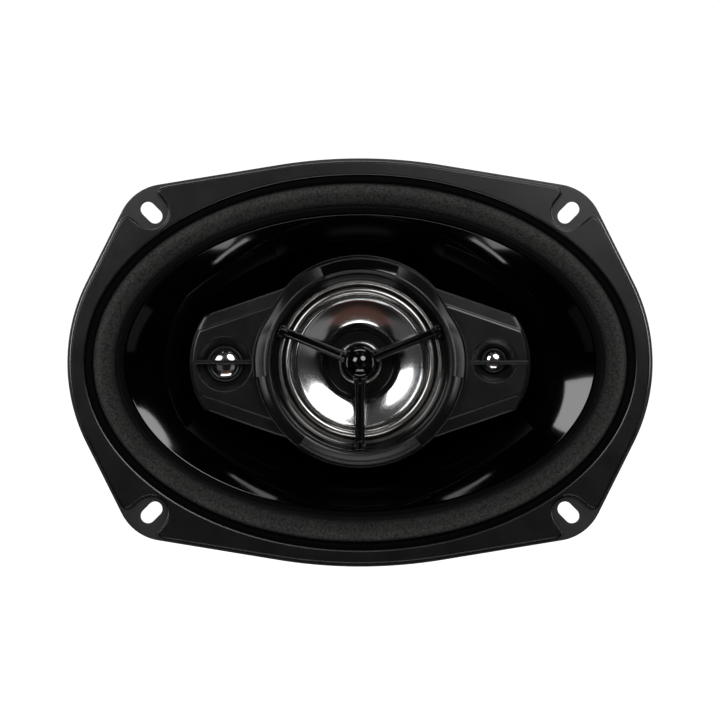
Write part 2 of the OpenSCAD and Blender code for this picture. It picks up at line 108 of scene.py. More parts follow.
def turned_by(points: np.ndarray, degrees: float) -> np.ndarray:
    """Points with x and y turned about the origin; a third coordinate is kept.

    Args:
        points: the points.
        degrees: the turn, anticlockwise.

    Returns:
        The turned points.
    """
    c, s = np.cos(np.radians(degrees)), np.sin(np.radians(degrees))
    out = np.array(points, float)
    out[..., 0] = points[..., 0] * c - points[..., 1] * s
    out[..., 1] = points[..., 0] * s + points[..., 1] * c
    return out


def soften(line: Iterable, reach: float = 0.4, steps: int = 3, closed: bool = True) -> np.ndarray:
    """Rounds every corner of a line of points, in a plane or in space.

    A corner c gives way to the parabola (1-t)^2 a + 2t(1-t) c + t^2 b, where a and b lie on its two sides at the
    same distance from it.

    Args:
        line: the corners in order.
        reach: that distance, cut to 0.45 of the shorter side.
        steps: pieces that each corner is made of.
        closed: whether the last corner leads back to the first. An open line keeps its ends.

    Returns:
        The rounded line, steps + 1 points for each corner.
    """
    p = np.asarray(line, float)
    back, on = np.roll(p, 1, 0) - p, np.roll(p, -1, 0) - p
    len_back = np.linalg.norm(back, axis=1)[:, None]
    len_on = np.linalg.norm(on, axis=1)[:, None]
    far = np.minimum(reach, 0.45 * np.minimum(len_back, len_on))
    if not closed:
        far[[0, -1]] = 0
    a, b = p + back / len_back * far, p + on / len_on * far
    t = np.linspace(0, 1, steps + 1)[None, :, None]
    curve = (1 - t) ** 2 * a[:, None] + 2 * t * (1 - t) * p[:, None] + t**2 * b[:, None]
    return curve.reshape(-1, p.shape[1])


def revolve(
    profile: np.ndarray, steps: int = 96, start: float = 0, sweep: float = 360, centre: Point = (0, 0),
) -> np.ndarray:
    """Grid whose point (u, v) is profile point v, a radius and a height, turned u of the way round an upright axis.

    Args:
        profile: radii and heights in order.
        steps: steps of the turn; less than a whole turn has one row more.
        start: direction of the first row in degrees.
        sweep: degrees turned; 360 leaves out the last row.
        centre: where the axis stands.

    Returns:
        The grid.
    """
    whole = sweep == 360
    turn = start + sweep * np.arange(steps if whole else steps + 1) / steps
    flat = polar(1, turn)[:, None, :] * profile[None, :, :1] + np.asarray(centre)
    height = np.broadcast_to(profile[None, :, 1:], flat.shape[:2] + (1,))
    return np.concatenate([flat, height], -1)


def oval_sweep(section: np.ndarray, stations: int = 216) -> np.ndarray:
    """Grid whose point (u, v) is (a_v cos u, b_v sin u, z_v): section point v carried round its own oval."""
    turn = 2 * np.pi * np.arange(stations)[:, None] / stations
    return np.stack([section[:, 0] * np.cos(turn), section[:, 1] * np.sin(turn), section[:, 2] + 0 * turn], -1)


def tube(path: np.ndarray, radius: float, sides: int = 12) -> np.ndarray:
    """Grid round a path that keeps its x: point (u, v) is path point u plus radius (cos v side + sin v across).

    Args:
        path: the path's points in order.
        radius: the tube's radius.
        sides: points round the tube.

    Returns:
        The grid.
    """
    along = np.gradient(path, axis=0)
    side = np.cross(along / np.linalg.norm(along, axis=1)[:, None], [1.0, 0, 0])
    turn = 2 * np.pi * np.arange(sides)[None, :, None] / sides
    return path[:, None] + radius * (np.cos(turn) * side[:, None] + np.sin(turn) * np.array([1.0, 0, 0]))


def stacked(loops: Sequence[np.ndarray], heights: Sequence[float]) -> np.ndarray:
    """Grid whose point (u, v) is point u of loop v, at height v."""
    flat = np.stack(loops, 1)
    return np.concatenate([flat, np.broadcast_to(np.asarray(heights, float)[None, :, None], flat.shape[:2] + (1,))], -1)


def inset_loop(loop: np.ndarray, distance: float) -> np.ndarray:
    """A closed loop moved to its left: each point goes along the mean normal of its two sides, by distance over the
    cosine of half the bend, so the sides keep their spacing.

    Args:
        loop: the loop's points, x and y.
        distance: how far it moves.

    Returns:
        The moved loop, point for point.
    """
    before, after = loop - np.roll(loop, 1, 0), np.roll(loop, -1, 0) - loop
    n1, n2 = (np.stack([-e[:, 1], e[:, 0]], -1) / np.linalg.norm(e, axis=1)[:, None] for e in (before, after))
    mean = (n1 + n2) / np.linalg.norm(n1 + n2, axis=1)[:, None]
    return loop + mean * distance / np.clip((mean * n1).sum(1), 0.4, 1)[:, None]


def evenly(loop: np.ndarray, spacing: float) -> np.ndarray:
    """A closed loop measured out again at even steps along its length.

    Args:
        loop: the loop's points.
        spacing: the step aimed at.

    Returns:
        The new points, without the first one repeated.
    """
    ring = np.concatenate([loop, loop[:1]])
    run = np.concatenate([[0], np.cumsum(np.linalg.norm(np.diff(ring, axis=0), axis=1))])
    at = np.linspace(0, run[-1], int(run[-1] / spacing), endpoint=False)
    return np.stack([np.interp(at, run, ring[:, k]) for k in (0, 1)], -1)


def eased(loop: np.ndarray, spacing: float, blur: float) -> np.ndarray:
    """A closed loop with its corners eased: as complex numbers x + iy at even steps, it is convolved with a bell
    curve of width blur, by damping each frequency f by exp(-2 (pi blur f)^2).

    Args:
        loop: the loop's points, x and y.
        spacing: the step between the new points.
        blur: the bell curve's width.

    Returns:
        The eased loop.
    """
    even = evenly(loop, spacing)
    pitch = np.fft.fftfreq(len(even), spacing)
    z = np.fft.ifft(np.fft.fft(even @ [1, 1j]) * np.exp(-2 * (np.pi * blur * pitch) ** 2))
    return np.stack([z.real, z.imag], -1)


def four_quarters(quarter: np.ndarray) -> np.ndarray:
    """A closed outline from its first quarter, whose ends lie on the axes, by mirroring it in both."""
    return np.concatenate([
        quarter, (quarter * [-1, 1])[-2::-1], -quarter[1:], (quarter * [1, -1])[-2:0:-1],
    ])


def oval_loop(a: float, b: float, points: int = 288) -> np.ndarray:
    """Closed oval (a cos t, b sin t), anticlockwise."""
    turn = 2 * np.pi * np.arange(points) / points
    return np.stack([a * np.cos(turn), b * np.sin(turn)], -1)


def edge_levels(low: float, high: float, radius: float, flat: float = 0.15, steps: int = 3) -> list[Point]:
    """Insets and heights up a plate's edge: quarter circles of the radius below and above, and a narrow flat rim.

    Args:
        low: height of the lower face.
        high: height of the upper face.
        radius: radius of the two rounded edges.
        flat: how far the faces' own flat rims reach in.
        steps: pieces of each quarter circle.

    Returns:
        Pairs of an inset and a height, from below.
    """
    t = np.radians(np.linspace(0, 90, steps + 1))
    curve = list(zip(radius * (1 - np.sin(t)), radius * (1 - np.cos(t))))
    lower = [(d, low + h) for d, h in curve]
    upper = [(d, high - h) for d, h in reversed(curve)]
    return [(radius + flat, low), *lower, *upper, (radius + flat, high)]


# ---- finishes ----


class Grain(Enum):
    """How a finish's fine relief is laid out."""

    MOULDED = "fine even texture of a moulded skin"
    PEBBLED = "small soft bumps of a foam skin"
    COATED = "long low waves of a dipped coat"
    TURNED = "rings left by a lathe, round the speaker's axis"
    WOVEN = "two crossing threads"
    WOUND = "turns of wire along the speaker's axis"
    BRAIDED = "strands that run aslant"
    SINTERED = "coarse fired grain"


# How the ruled grains' waves run: as rings or bands, about or along which axis, how bent, and the fine noise's share.
LINES: dict[Grain, tuple[str, str, float, float]] = {
    Grain.TURNED: ("RINGS", "Y", 0.4, 0.3), Grain.WOUND: ("BANDS", "Y", 0.3, 0.2),
    Grain.BRAIDED: ("BANDS", "DIAGONAL", 1.0, 0.3),
}


@dataclass
class Graph:
    """A material's nodes, with the shaded point in millimetres for its textures."""

    tree: bpy.types.NodeTree
    at: object = None

    def __post_init__(self) -> None:
        """Scales the object's own coordinates to millimetres."""
        scale = self.node("ShaderNodeVectorMath", operation="SCALE")
        scale.inputs["Scale"].default_value = 1 / MM
        self.link(self.node("ShaderNodeTexCoord").outputs["Object"], scale.inputs[0])
        self.at = scale.outputs[0]

    def node(self, kind: str, **settings: object) -> bpy.types.Node:
        """A node of a kind, with its settings.

        Args:
            kind: the node's type.
            settings: values for its properties.

        Returns:
            The node.
        """
        node = self.tree.nodes.new(kind)
        for key, value in settings.items():
            setattr(node, key, value)
        return node

    def link(self, output: object, socket: object) -> None:
        """Joins an output to a socket."""
        self.tree.links.new(output, socket)

    def texture(self, kind: str, output: int, values: dict[str, float], **settings: object) -> object:
        """A numbered output of a texture at the shaded point, with values on its named sockets.

        Args:
            kind: the texture node's type.
            output: the output's number.
            values: numbers for named sockets.
            settings: values for its properties.

        Returns:
            The output.
        """
        node = self.node(kind, **settings)
        for socket, value in values.items():
            node.inputs[socket].default_value = value
        self.link(self.at, node.inputs["Vector"])
        return node.outputs[output]

    def noise(self, scale: float, detail: float, rough: float = 0.55) -> object:
        """Noise with a scale in turns for each millimetre."""
        return self.texture("ShaderNodeTexNoise", 0, {"Scale": scale, "Detail": detail, "Roughness": rough})

    def wave(self, pitch: float, kind: str, axis: str, bend: float) -> object:
        """Rings or bands, one for each pitch in millimetres.

        Args:
            pitch: millimetres from one wave to the next.
            kind: bands or rings.
            axis: the direction they follow.
            bend: how far noise bends them.

        Returns:
            The pattern's output.
        """
        way = {"rings_direction" if kind == "RINGS" else "bands_direction": axis}
        values = {"Scale": np.pi / 10 / pitch, "Distortion": bend, "Detail": 2.0}
        return self.texture("ShaderNodeTexWave", 1, values, wave_type=kind, **way)

    def mix(self, a: object, b: object, share: float) -> object:
        """The mean of two values, with b's share given.

        Args:
            a: the first value.
            b: the second value.
            share: the second's share, 0 to 1.

        Returns:
            The output.
        """
        node = self.node("ShaderNodeMix", data_type="FLOAT")
        node.inputs[0].default_value = share
        self.link(a, node.inputs[2])
        self.link(b, node.inputs[3])
        return node.outputs[0]

    def blend(self, share: object, under: object, over: object) -> object:
        """Two colours mixed, each one an output or a constant, with the second's share given.

        Args:
            share: the second colour's share, 0 to 1.
            under: the first colour.
            over: the second colour.

        Returns:
            The output.
        """
        node = self.node("ShaderNodeMix", data_type="RGBA")
        self.link(share, node.inputs[0])
        for socket, colour in ((node.inputs[6], under), (node.inputs[7], over)):
            if isinstance(colour, tuple):
                socket.default_value = (*colour, 1)
            else:
                self.link(colour, socket)
        return node.outputs[2]

    def ranged(self, value: object, low: float, high: float, to_low: float, to_high: float) -> object:
        """A value moved from one range to another and kept inside it.

        Args:
            value: the value.
            low: start of its own range.
            high: end of its own range.
            to_low: start of the new range.
            to_high: end of the new range.

        Returns:
            The output.
        """
        node = self.node("ShaderNodeMapRange")
        for socket, number in zip(node.inputs[1:5], (low, high, to_low, to_high)):
            socket.default_value = number
        self.link(value, node.inputs[0])
        return node.outputs[0]


@dataclass(frozen=True)
class Finish:
    """One surface finish and the material slot it fills. Lengths are millimetres, colours are linear."""

    name: str
    slot: str
    dark: Colour
    light: Colour
    rough: Point
    grain: Grain = Grain.MOULDED
    pitch: float = 0.4
    depth: float = 0.01
    metal: float = 0.0
    coat: float = 0.0
    sheen: float = 0.0
    specular: float = 0.5
    tint: float = 0.25
    patch: float = 14.0
    scuff: float = 0.0
    # Name of a vertex attribute, 0 to 1, whose low values darken the colour to near black: painted shade, with the high
    # values left lighter as a painted highlight.
    painted_shade_attribute: str = ""

    def material(self) -> bpy.types.Material:
        """The finish as a node material, made once."""
        return bpy.data.materials.get(self.name) or self._build()

    def _build(self) -> bpy.types.Material:
        """Makes the nodes: grain drives the bump, and grain and slow patches drive colour and roughness.

        Returns:
            The finished material.
        """
        made = bpy.data.materials.new(self.name)
        made.use_nodes = True
        made.diffuse_color = (*self.light, 1)
        shader = made.node_tree.nodes["Principled BSDF"]
        for socket, value in (
            ("Metallic", self.metal), ("Coat Weight", self.coat), ("Coat Roughness", 0.04),
            ("Sheen Weight", self.sheen), ("Specular IOR Level", self.specular),
        ):
            shader.inputs[socket].default_value = value
        graph = Graph(made.node_tree)
        relief = self._relief(graph)
        tone = graph.mix(graph.noise(1 / self.patch, 4), relief, self.tint)
        ramp = graph.node("ShaderNodeValToRGB")
        for stop, (position, rgb) in zip(ramp.color_ramp.elements, ((0.3, self.dark), (0.7, self.light))):
            stop.position, stop.color = position, (*rgb, 1)
        graph.link(tone, ramp.inputs[0])
        skin = ramp.outputs[0]
        # Painted light: the colour falls to 3% of the dark colour where the attribute is 0, a painted shade, and keeps
        # its own colour where it is 1.
        if self.painted_shade_attribute:
            height = graph.node("ShaderNodeAttribute", attribute_name=self.painted_shade_attribute).outputs["Fac"]
            skin = graph.blend(graph.ranged(height, 0, 1, 0, 1), tuple(0.03 * c for c in self.dark), skin)
        if self.scuff:
            marks = graph.ranged(graph.noise(1 / 2.3, 9, 0.75), 0.62, 0.74, 0, self.scuff)
            skin = graph.blend(marks, skin, tuple(0.5 * c + 0.16 for c in self.light))
        bump = graph.node("ShaderNodeBump")
        bump.inputs["Strength"].default_value = 1
        bump.inputs["Distance"].default_value = self.depth * MM
        graph.link(relief, bump.inputs["Height"])
        gloss = graph.ranged(tone, 0.3, 0.7, *self.rough)
        for output, socket in ((skin, "Base Color"), (gloss, "Roughness"), (bump.outputs[0], "Normal")):
            graph.link(output, shader.inputs[socket])
        return made

    def _relief(self, graph: Graph) -> object:
        """The grain's height, 0 to 1.

        Args:
            graph: the material's nodes.

        Returns:
            The height's output.
        """
        fine = graph.noise(1 / self.pitch, 3)
        if self.grain is Grain.PEBBLED:
            cells = graph.texture("ShaderNodeTexVoronoi", 0, {"Scale": 0.8 / self.pitch}, feature="SMOOTH_F1")
            return graph.mix(fine, graph.ranged(cells, 0, 0.8, 1, 0), 0.6)
        if self.grain is Grain.COATED:
            return graph.noise(1 / self.pitch, 1)
        if self.grain is Grain.SINTERED:
            return graph.noise(1 / self.pitch, 8, 0.7)
        if self.grain is Grain.WOVEN:
            threads = [graph.wave(self.pitch, "BANDS", axis, 0.6) for axis in ("X", "Z")]
            return graph.mix(graph.mix(*threads, 0.5), fine, 0.25)
        if self.grain in LINES:
            kind, axis, bend, share = LINES[self.grain]
            return graph.mix(graph.wave(self.pitch, kind, axis, bend), fine, share)
        return fine


def greys(dark: float, light: float) -> tuple[Colour, Colour]:
    """A dark and a light neutral colour."""
    return (dark,) * 3, (light,) * 3


COATED_STEEL = Finish(
    "black_dipped_steel", "pressed_steel", *greys(0.016, 0.026), (0.30, 0.40), Grain.COATED, 1.6, 0.010, scuff=0.05)
TRIM_VINYL = Finish(
    "satin_trim_vinyl", "gasket", (0.004, 0.004, 0.004), (0.0068, 0.0068, 0.0066), (0.22, 0.28),
    Grain.MOULDED, 0.35, 0.006, scuff=0.03)
# The foam reads the rise attribute as painted light: painted shade in the groove and on the inner edge, a painted
# highlight on the outer side of the crest.
FOAM = Finish(
    "skinned_foam", "foam", (0.05, 0.05, 0.049), (0.14, 0.14, 0.135), (0.6, 0.75),
    Grain.PEBBLED, 0.65, 0.15, tint=0.8, specular=0.06, painted_shade_attribute="rise")
CONE_GLOSS = Finish(
    "gloss_black_cone", "cone", (0.0004, 0.0004, 0.0005), (0.0010, 0.0010, 0.0010), (0.04, 0.07),
    Grain.COATED, 9, 0.002)
BRIDGE_SATIN = Finish(
    "satin_bridge_plastic", "bridge_plastic", *greys(0.006, 0.009), (0.20, 0.26), Grain.MOULDED, 0.3, 0.004, scuff=0.02)
PIANO_BLACK = Finish(
    "gloss_black_plastic", "gloss_black", *greys(0.002, 0.004), (0.05, 0.09), Grain.COATED, 6, 0.002, coat=0.3)
TRIM_SATIN = Finish(
    "fine_satin_trim", "trim_plastic", *greys(0.013, 0.021), (0.28, 0.36), Grain.MOULDED, 0.25, 0.004, scuff=0.02)
METAL_FILM = Finish(
    "metallised_film", "metallised_film", (0.66, 0.66, 0.66), (0.76, 0.76, 0.77), (0.09, 0.13),
    Grain.TURNED, 0.8, 0.0002, metal=1, patch=6)
ROLL_FILM = Finish(
    "metallised_roll_film", "metallised_film", (0.30, 0.29, 0.28), (0.38, 0.37, 0.36), (0.20, 0.27),
    Grain.TURNED, 0.8, 0.0002, metal=1, patch=6)
DOME_FOIL = Finish(
    "bright_dome_foil", "metallised_film", *greys(0.72, 0.84), (0.10, 0.14), Grain.COATED, 2.5, 0.0006, metal=1)
# Dark steel of the motor's hidden parts, and also the near black of the neck ring, which is painted shade.
DARK_RECESS = Finish(
    "dark_turned_steel", "dark_steel", *greys(0.006, 0.012), (0.12, 0.18), Grain.TURNED, 0.4, 0.0008)
ZINC_STEEL = Finish(
    "zinc_plated_steel", "plated_steel", (0.50, 0.50, 0.49), (0.60, 0.60, 0.59), (0.26, 0.36),
    Grain.TURNED, 0.5, 0.008, metal=1, scuff=0.06)
RIVET_STEEL = Finish(
    "bright_rivet_steel", "plated_steel", *greys(0.50, 0.66), (0.2, 0.34), Grain.COATED, 0.8, 0.02, metal=1, scuff=0.2)
FERRITE = Finish(
    "fired_ferrite", "ferrite", (0.020, 0.021, 0.023), (0.055, 0.056, 0.060), (0.45, 0.7),
    Grain.SINTERED, 1.2, 0.05, tint=0.6, scuff=0.1)
NICKEL = Finish(
    "nickel_magnet", "chrome_ring", (0.48, 0.47, 0.45), (0.60, 0.59, 0.57), (0.16, 0.26),
    Grain.COATED, 1.0, 0.006, metal=1)
SPIDER_CLOTH = Finish(
    "resin_dipped_cloth", "spider_cloth", (0.34, 0.20, 0.05), (0.60, 0.40, 0.14), (0.7, 0.85),
    Grain.WOVEN, 0.55, 0.09, tint=0.65, sheen=0.3)
FORMER = Finish(
    "coil_former_paper", "former", (0.34, 0.24, 0.13), (0.48, 0.36, 0.22), (0.5, 0.65), Grain.MOULDED, 0.6, 0.02)
COPPER = Finish(
    "enamelled_copper", "winding", (0.42, 0.14, 0.04), (0.66, 0.26, 0.09), (0.22, 0.34),
    Grain.WOUND, 0.25, 0.06, metal=1, tint=0.6)
BOARD = Finish(
    "paper_resin_board", "board", (0.13, 0.055, 0.018), (0.24, 0.11, 0.04), (0.35, 0.5),
    Grain.MOULDED, 0.5, 0.015, tint=0.5)
TINNED = Finish(
    "tinned_brass", "tinned_brass", (0.62, 0.58, 0.46), (0.76, 0.72, 0.62), (0.2, 0.34),
    Grain.COATED, 1.2, 0.01, metal=1, scuff=0.15)
BRAID = Finish(
    "tinsel_braid", "braid", (0.30, 0.22, 0.12), (0.72, 0.58, 0.38), (0.35, 0.5),
    Grain.BRAIDED, 0.5, 0.12, metal=0.8, tint=0.8)
RED_LEAD = Finish(
    "lead_insulation", "lead_insulation", (0.30, 0.012, 0.010), (0.42, 0.020, 0.016), (0.3, 0.42),
    Grain.MOULDED, 0.5, 0.01, patch=5)
SLEEVE = Finish(
    "capacitor_sleeve", "capacitor", (0.02, 0.05, 0.16), (0.03, 0.08, 0.24), (0.22, 0.32), Grain.COATED, 1.5, 0.01)

NODE_FINISHES: dict[str, Finish] = {
    finish.slot: finish for finish in (FORMER, COPPER, ZINC_STEEL, DARK_RECESS, FERRITE, SLEEVE, PIANO_BLACK)
} | {"small_magnet": NICKEL}


# ---- from arrays to pieces ----


@dataclass
class Patch:
    """A grid of plan points that becomes one sheet of facets, joined round either way, or capped at u's two ends."""

    grid: np.ndarray
    round_u: bool = True
    round_v: bool = True
    capped: bool = False

    def facets(self, first: int) -> list[tuple[int, ...]]:
        """The facets' corner numbers, the first corner being number first.

        Args:
            first: number of the patch's first corner.

        Returns:
            A tuple of corner numbers for each facet.
        """
        n, m = self.grid.shape[:2]
        i = np.arange(n if self.round_u else n - 1)[:, None]
        j = np.arange(m if self.round_v else m - 1)[None, :]
        i2, j2 = (i + 1) % n, (j + 1) % m
        corners = np.stack(np.broadcast_arrays(i * m + j, i2 * m + j, i2 * m + j2, i * m + j2), -1)
        out = [tuple(row) for row in (corners.reshape(-1, 4) + first).tolist()]
        if self.capped:
            out += [tuple(range(first, first + m))[::-1], tuple(range(first + (n - 1) * m, first + n * m))]
        return out


def solid(profile: np.ndarray, **how: object) -> Patch:
    """A closed profile revolved; a partial turn is capped at both ends."""
    part = how.get("sweep", 360) != 360
    return Patch(revolve(profile, **how), round_u=not part, capped=part)


def finished(work: bmesh.types.BMesh, mesh: bpy.types.Mesh, name: str, crease: float) -> Piece:
    """Writes the work into its mesh, smooth except at edges that bend more than crease degrees, as a new object.

    Args:
        work: the work, which is freed.
        mesh: the mesh that it goes into.
        name: the new object's name.
        crease: the largest bend, in degrees, that is still smooth.

    Returns:
        The new object.
    """
    work.to_mesh(mesh)
    work.free()
    mesh.shade_smooth()
    mesh.set_sharp_from_angle(angle=np.radians(crease))
    piece = bpy.data.objects.new(name, mesh)
    bpy.context.scene.collection.objects.link(piece)
    return piece


def bevelled(piece: Piece, name: str, width: float, above: float) -> None:
    """Adds a bevel of a width in millimetres to the edges that bend more than above degrees."""
    bevel = piece.modifiers.new(name, "BEVEL")
    bevel.width, bevel.segments, bevel.limit_method, bevel.angle_limit = width * MM, 2, "ANGLE", np.radians(above)


def weld(name: str, patches: Sequence[Patch], crease: float = CREASE, fill: bool = False) -> Piece:
    """Joins patches into one mesh object at the origin.

    Args:
        name: the object's name.
        patches: its sheets of facets, whose common points are merged.
        crease: edges that bend more than this many degrees stay sharp.
        fill: closes the open loops that lie at one height with flat facets, holes left open.

    Returns:
        The object, its faces pointing outwards.
    """
    points, facets = [], []
    for patch in patches:
        facets += patch.facets(sum(len(p) for p in points))
        points.append(stand_up(patch.grid).reshape(-1, 3))
    mesh = bpy.data.meshes.new(name)
    mesh.from_pydata(np.concatenate(points).tolist(), [], facets)
    work = bmesh.new()
    work.from_mesh(mesh)
    bmesh.ops.remove_doubles(work, verts=work.verts, dist=2e-6)
    if fill:
        rims: dict[int, list] = {}
        for edge in work.edges:
            if edge.is_boundary:
                rims.setdefault(round(edge.verts[0].co.y * 1e5), []).append(edge)
        for edges in rims.values():
            bmesh.ops.triangle_fill(work, use_beauty=True, edges=edges)
    bmesh.ops.recalc_face_normals(work, faces=work.faces)
    return finished(work, mesh, name, crease)


def dress(piece: Piece, finish: Finish, nodes: Sequence[str] = (), body: Optional[str] = "frame") -> Piece:
    """Gives a piece its finish, hides the CAD nodes it stands for and, unless it is to bend, puts it on its body.

    Args:
        piece: the piece.
        finish: its finish.
        nodes: the CAD nodes that it stands for.
        body: the body it rides on, or None if it is to bend.

    Returns:
        The same piece.
    """
    piece.data.materials.clear()
    piece.data.materials.append(finish.material())
    if nodes:
        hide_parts(*nodes)
    if body:
        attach(piece, body)
    log.info("%s: %d facets, %s, for %s", piece.name, len(piece.data.polygons), finish.name, list(nodes))
    return piece


def plan_points(piece: Piece) -> np.ndarray:
    """A piece's vertices as plan points in millimetres.

    Args:
        piece: the piece.

    Returns:
        One row of x, y and z for each vertex.
    """
    place = np.empty(len(piece.data.vertices) * 3)
    piece.data.vertices.foreach_get("co", place)
    x, y, z = place.reshape(-1, 3).T / MM
    return np.stack([x, z, -y], -1)


def paint(piece: Piece, name: str, amount: Callable[[np.ndarray], np.ndarray]) -> None:
    """Stores an amount for each vertex, 0 to 1, worked out from plan points, for a finish to read."""
    values = np.clip(amount(plan_points(piece)), 0, 1).astype(np.float32)
    piece.data.attributes.new(name, "FLOAT", "POINT").data.foreach_set("value", values)


def bend(piece: Piece, child: str, weights: Callable[[np.ndarray], np.ndarray]) -> None:
    """Bakes a soft piece's placement into its mesh and works out each vertex's share of a moving body's travel; the
    shares are not kept, so the piece does not bend.

    Args:
        piece: the piece, with no parent and its mesh final.
        child: the body that its moving edge would follow; not used.
        weights: gives each vertex its share of the body's travel, 0 to 1, from plan points in millimetres.
    """
    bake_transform(piece)
    share = np.clip(weights(plan_points(piece)), 0, 1)


def between_ovals(points: np.ndarray, inner: Point, outer: Point) -> np.ndarray:
    """How far a plan point lies from an inner oval (0) towards an outer one (1).

    Args:
        points: plan points.
        inner: the inner oval's half lengths.
        outer: the outer oval's half lengths.

    Returns:
        One share for each point.
    """
    past = np.hypot(points[:, 0] / inner[0], points[:, 1] / inner[1]) - 1
    short = 1 - np.hypot(points[:, 0] / outer[0], points[:, 1] / outer[1])
    return np.clip(past / np.maximum(past + short, 1e-6), 0, 1)


def refined(node: str, finish: Finish, edge: float) -> Piece:
    """A merged copy of a CAD node, its edges bevelled by a width in millimetres.

    Args:
        node: the CAD node's name.
        finish: the copy's finish.
        edge: the bevel's width.

    Returns:
        The copy.
    """
    source = frame["nodes"][node]
    mesh = source.data.copy()
    work = bmesh.new()
    work.from_mesh(mesh)
    bmesh.ops.remove_doubles(work, verts=work.verts, dist=1e-6)
    bmesh.ops.dissolve_limit(work, angle_limit=np.radians(FLAT_WITHIN), verts=work.verts, edges=work.edges)
    piece = finished(work, mesh, node + "_dressed", CREASE)
    bevelled(piece, "broken_edges", edge, 40)
    return dress(piece, finish, [node], source["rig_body"])


def rounded_bar(low: Sequence[float], high: Sequence[float], radius: float) -> Patch:
    """A bar with rounded long edges and blunt rounded ends, between two plan corners.

    The rim is a rectangle softened by the radius; the levels shrink it by the quarter circle of the radius.

    Args:
        low: the corner with the smallest x, y and z.
        high: the corner with the largest.
        radius: radius of the rounded edges.

    Returns:
        The bar's side between the rims of its two faces, open at both.
    """
    (x0, y0, z0), (x1, y1, z1) = low, high
    loop = soften([(x0, y0), (x1, y0), (x1, y1), (x0, y1)], radius * 1.6, 4)
    keep = np.linalg.norm(np.roll(loop, -1, 0) - loop, axis=1) > 1e-6
    loop = loop[keep]
    levels = edge_levels(z0, z1, radius, 0.02)
    centre = np.array([(x0 + x1) / 2, (y0 + y1) / 2])
    half = np.array([(x1 - x0) / 2, (y1 - y0) / 2])
    rims = [centre + (loop - centre) * (half - d) / half for d, _ in levels]
    return Patch(stacked(rims, [z for _, z in levels]), round_v=False)


def turned_patch(patch: Patch, degrees: float) -> Patch:
    """The same patch, turned about the speaker's axis."""
    return Patch(turned_by(patch.grid, degrees), patch.round_u, patch.round_v, patch.capped)


# ---- the sub-assemblies ----


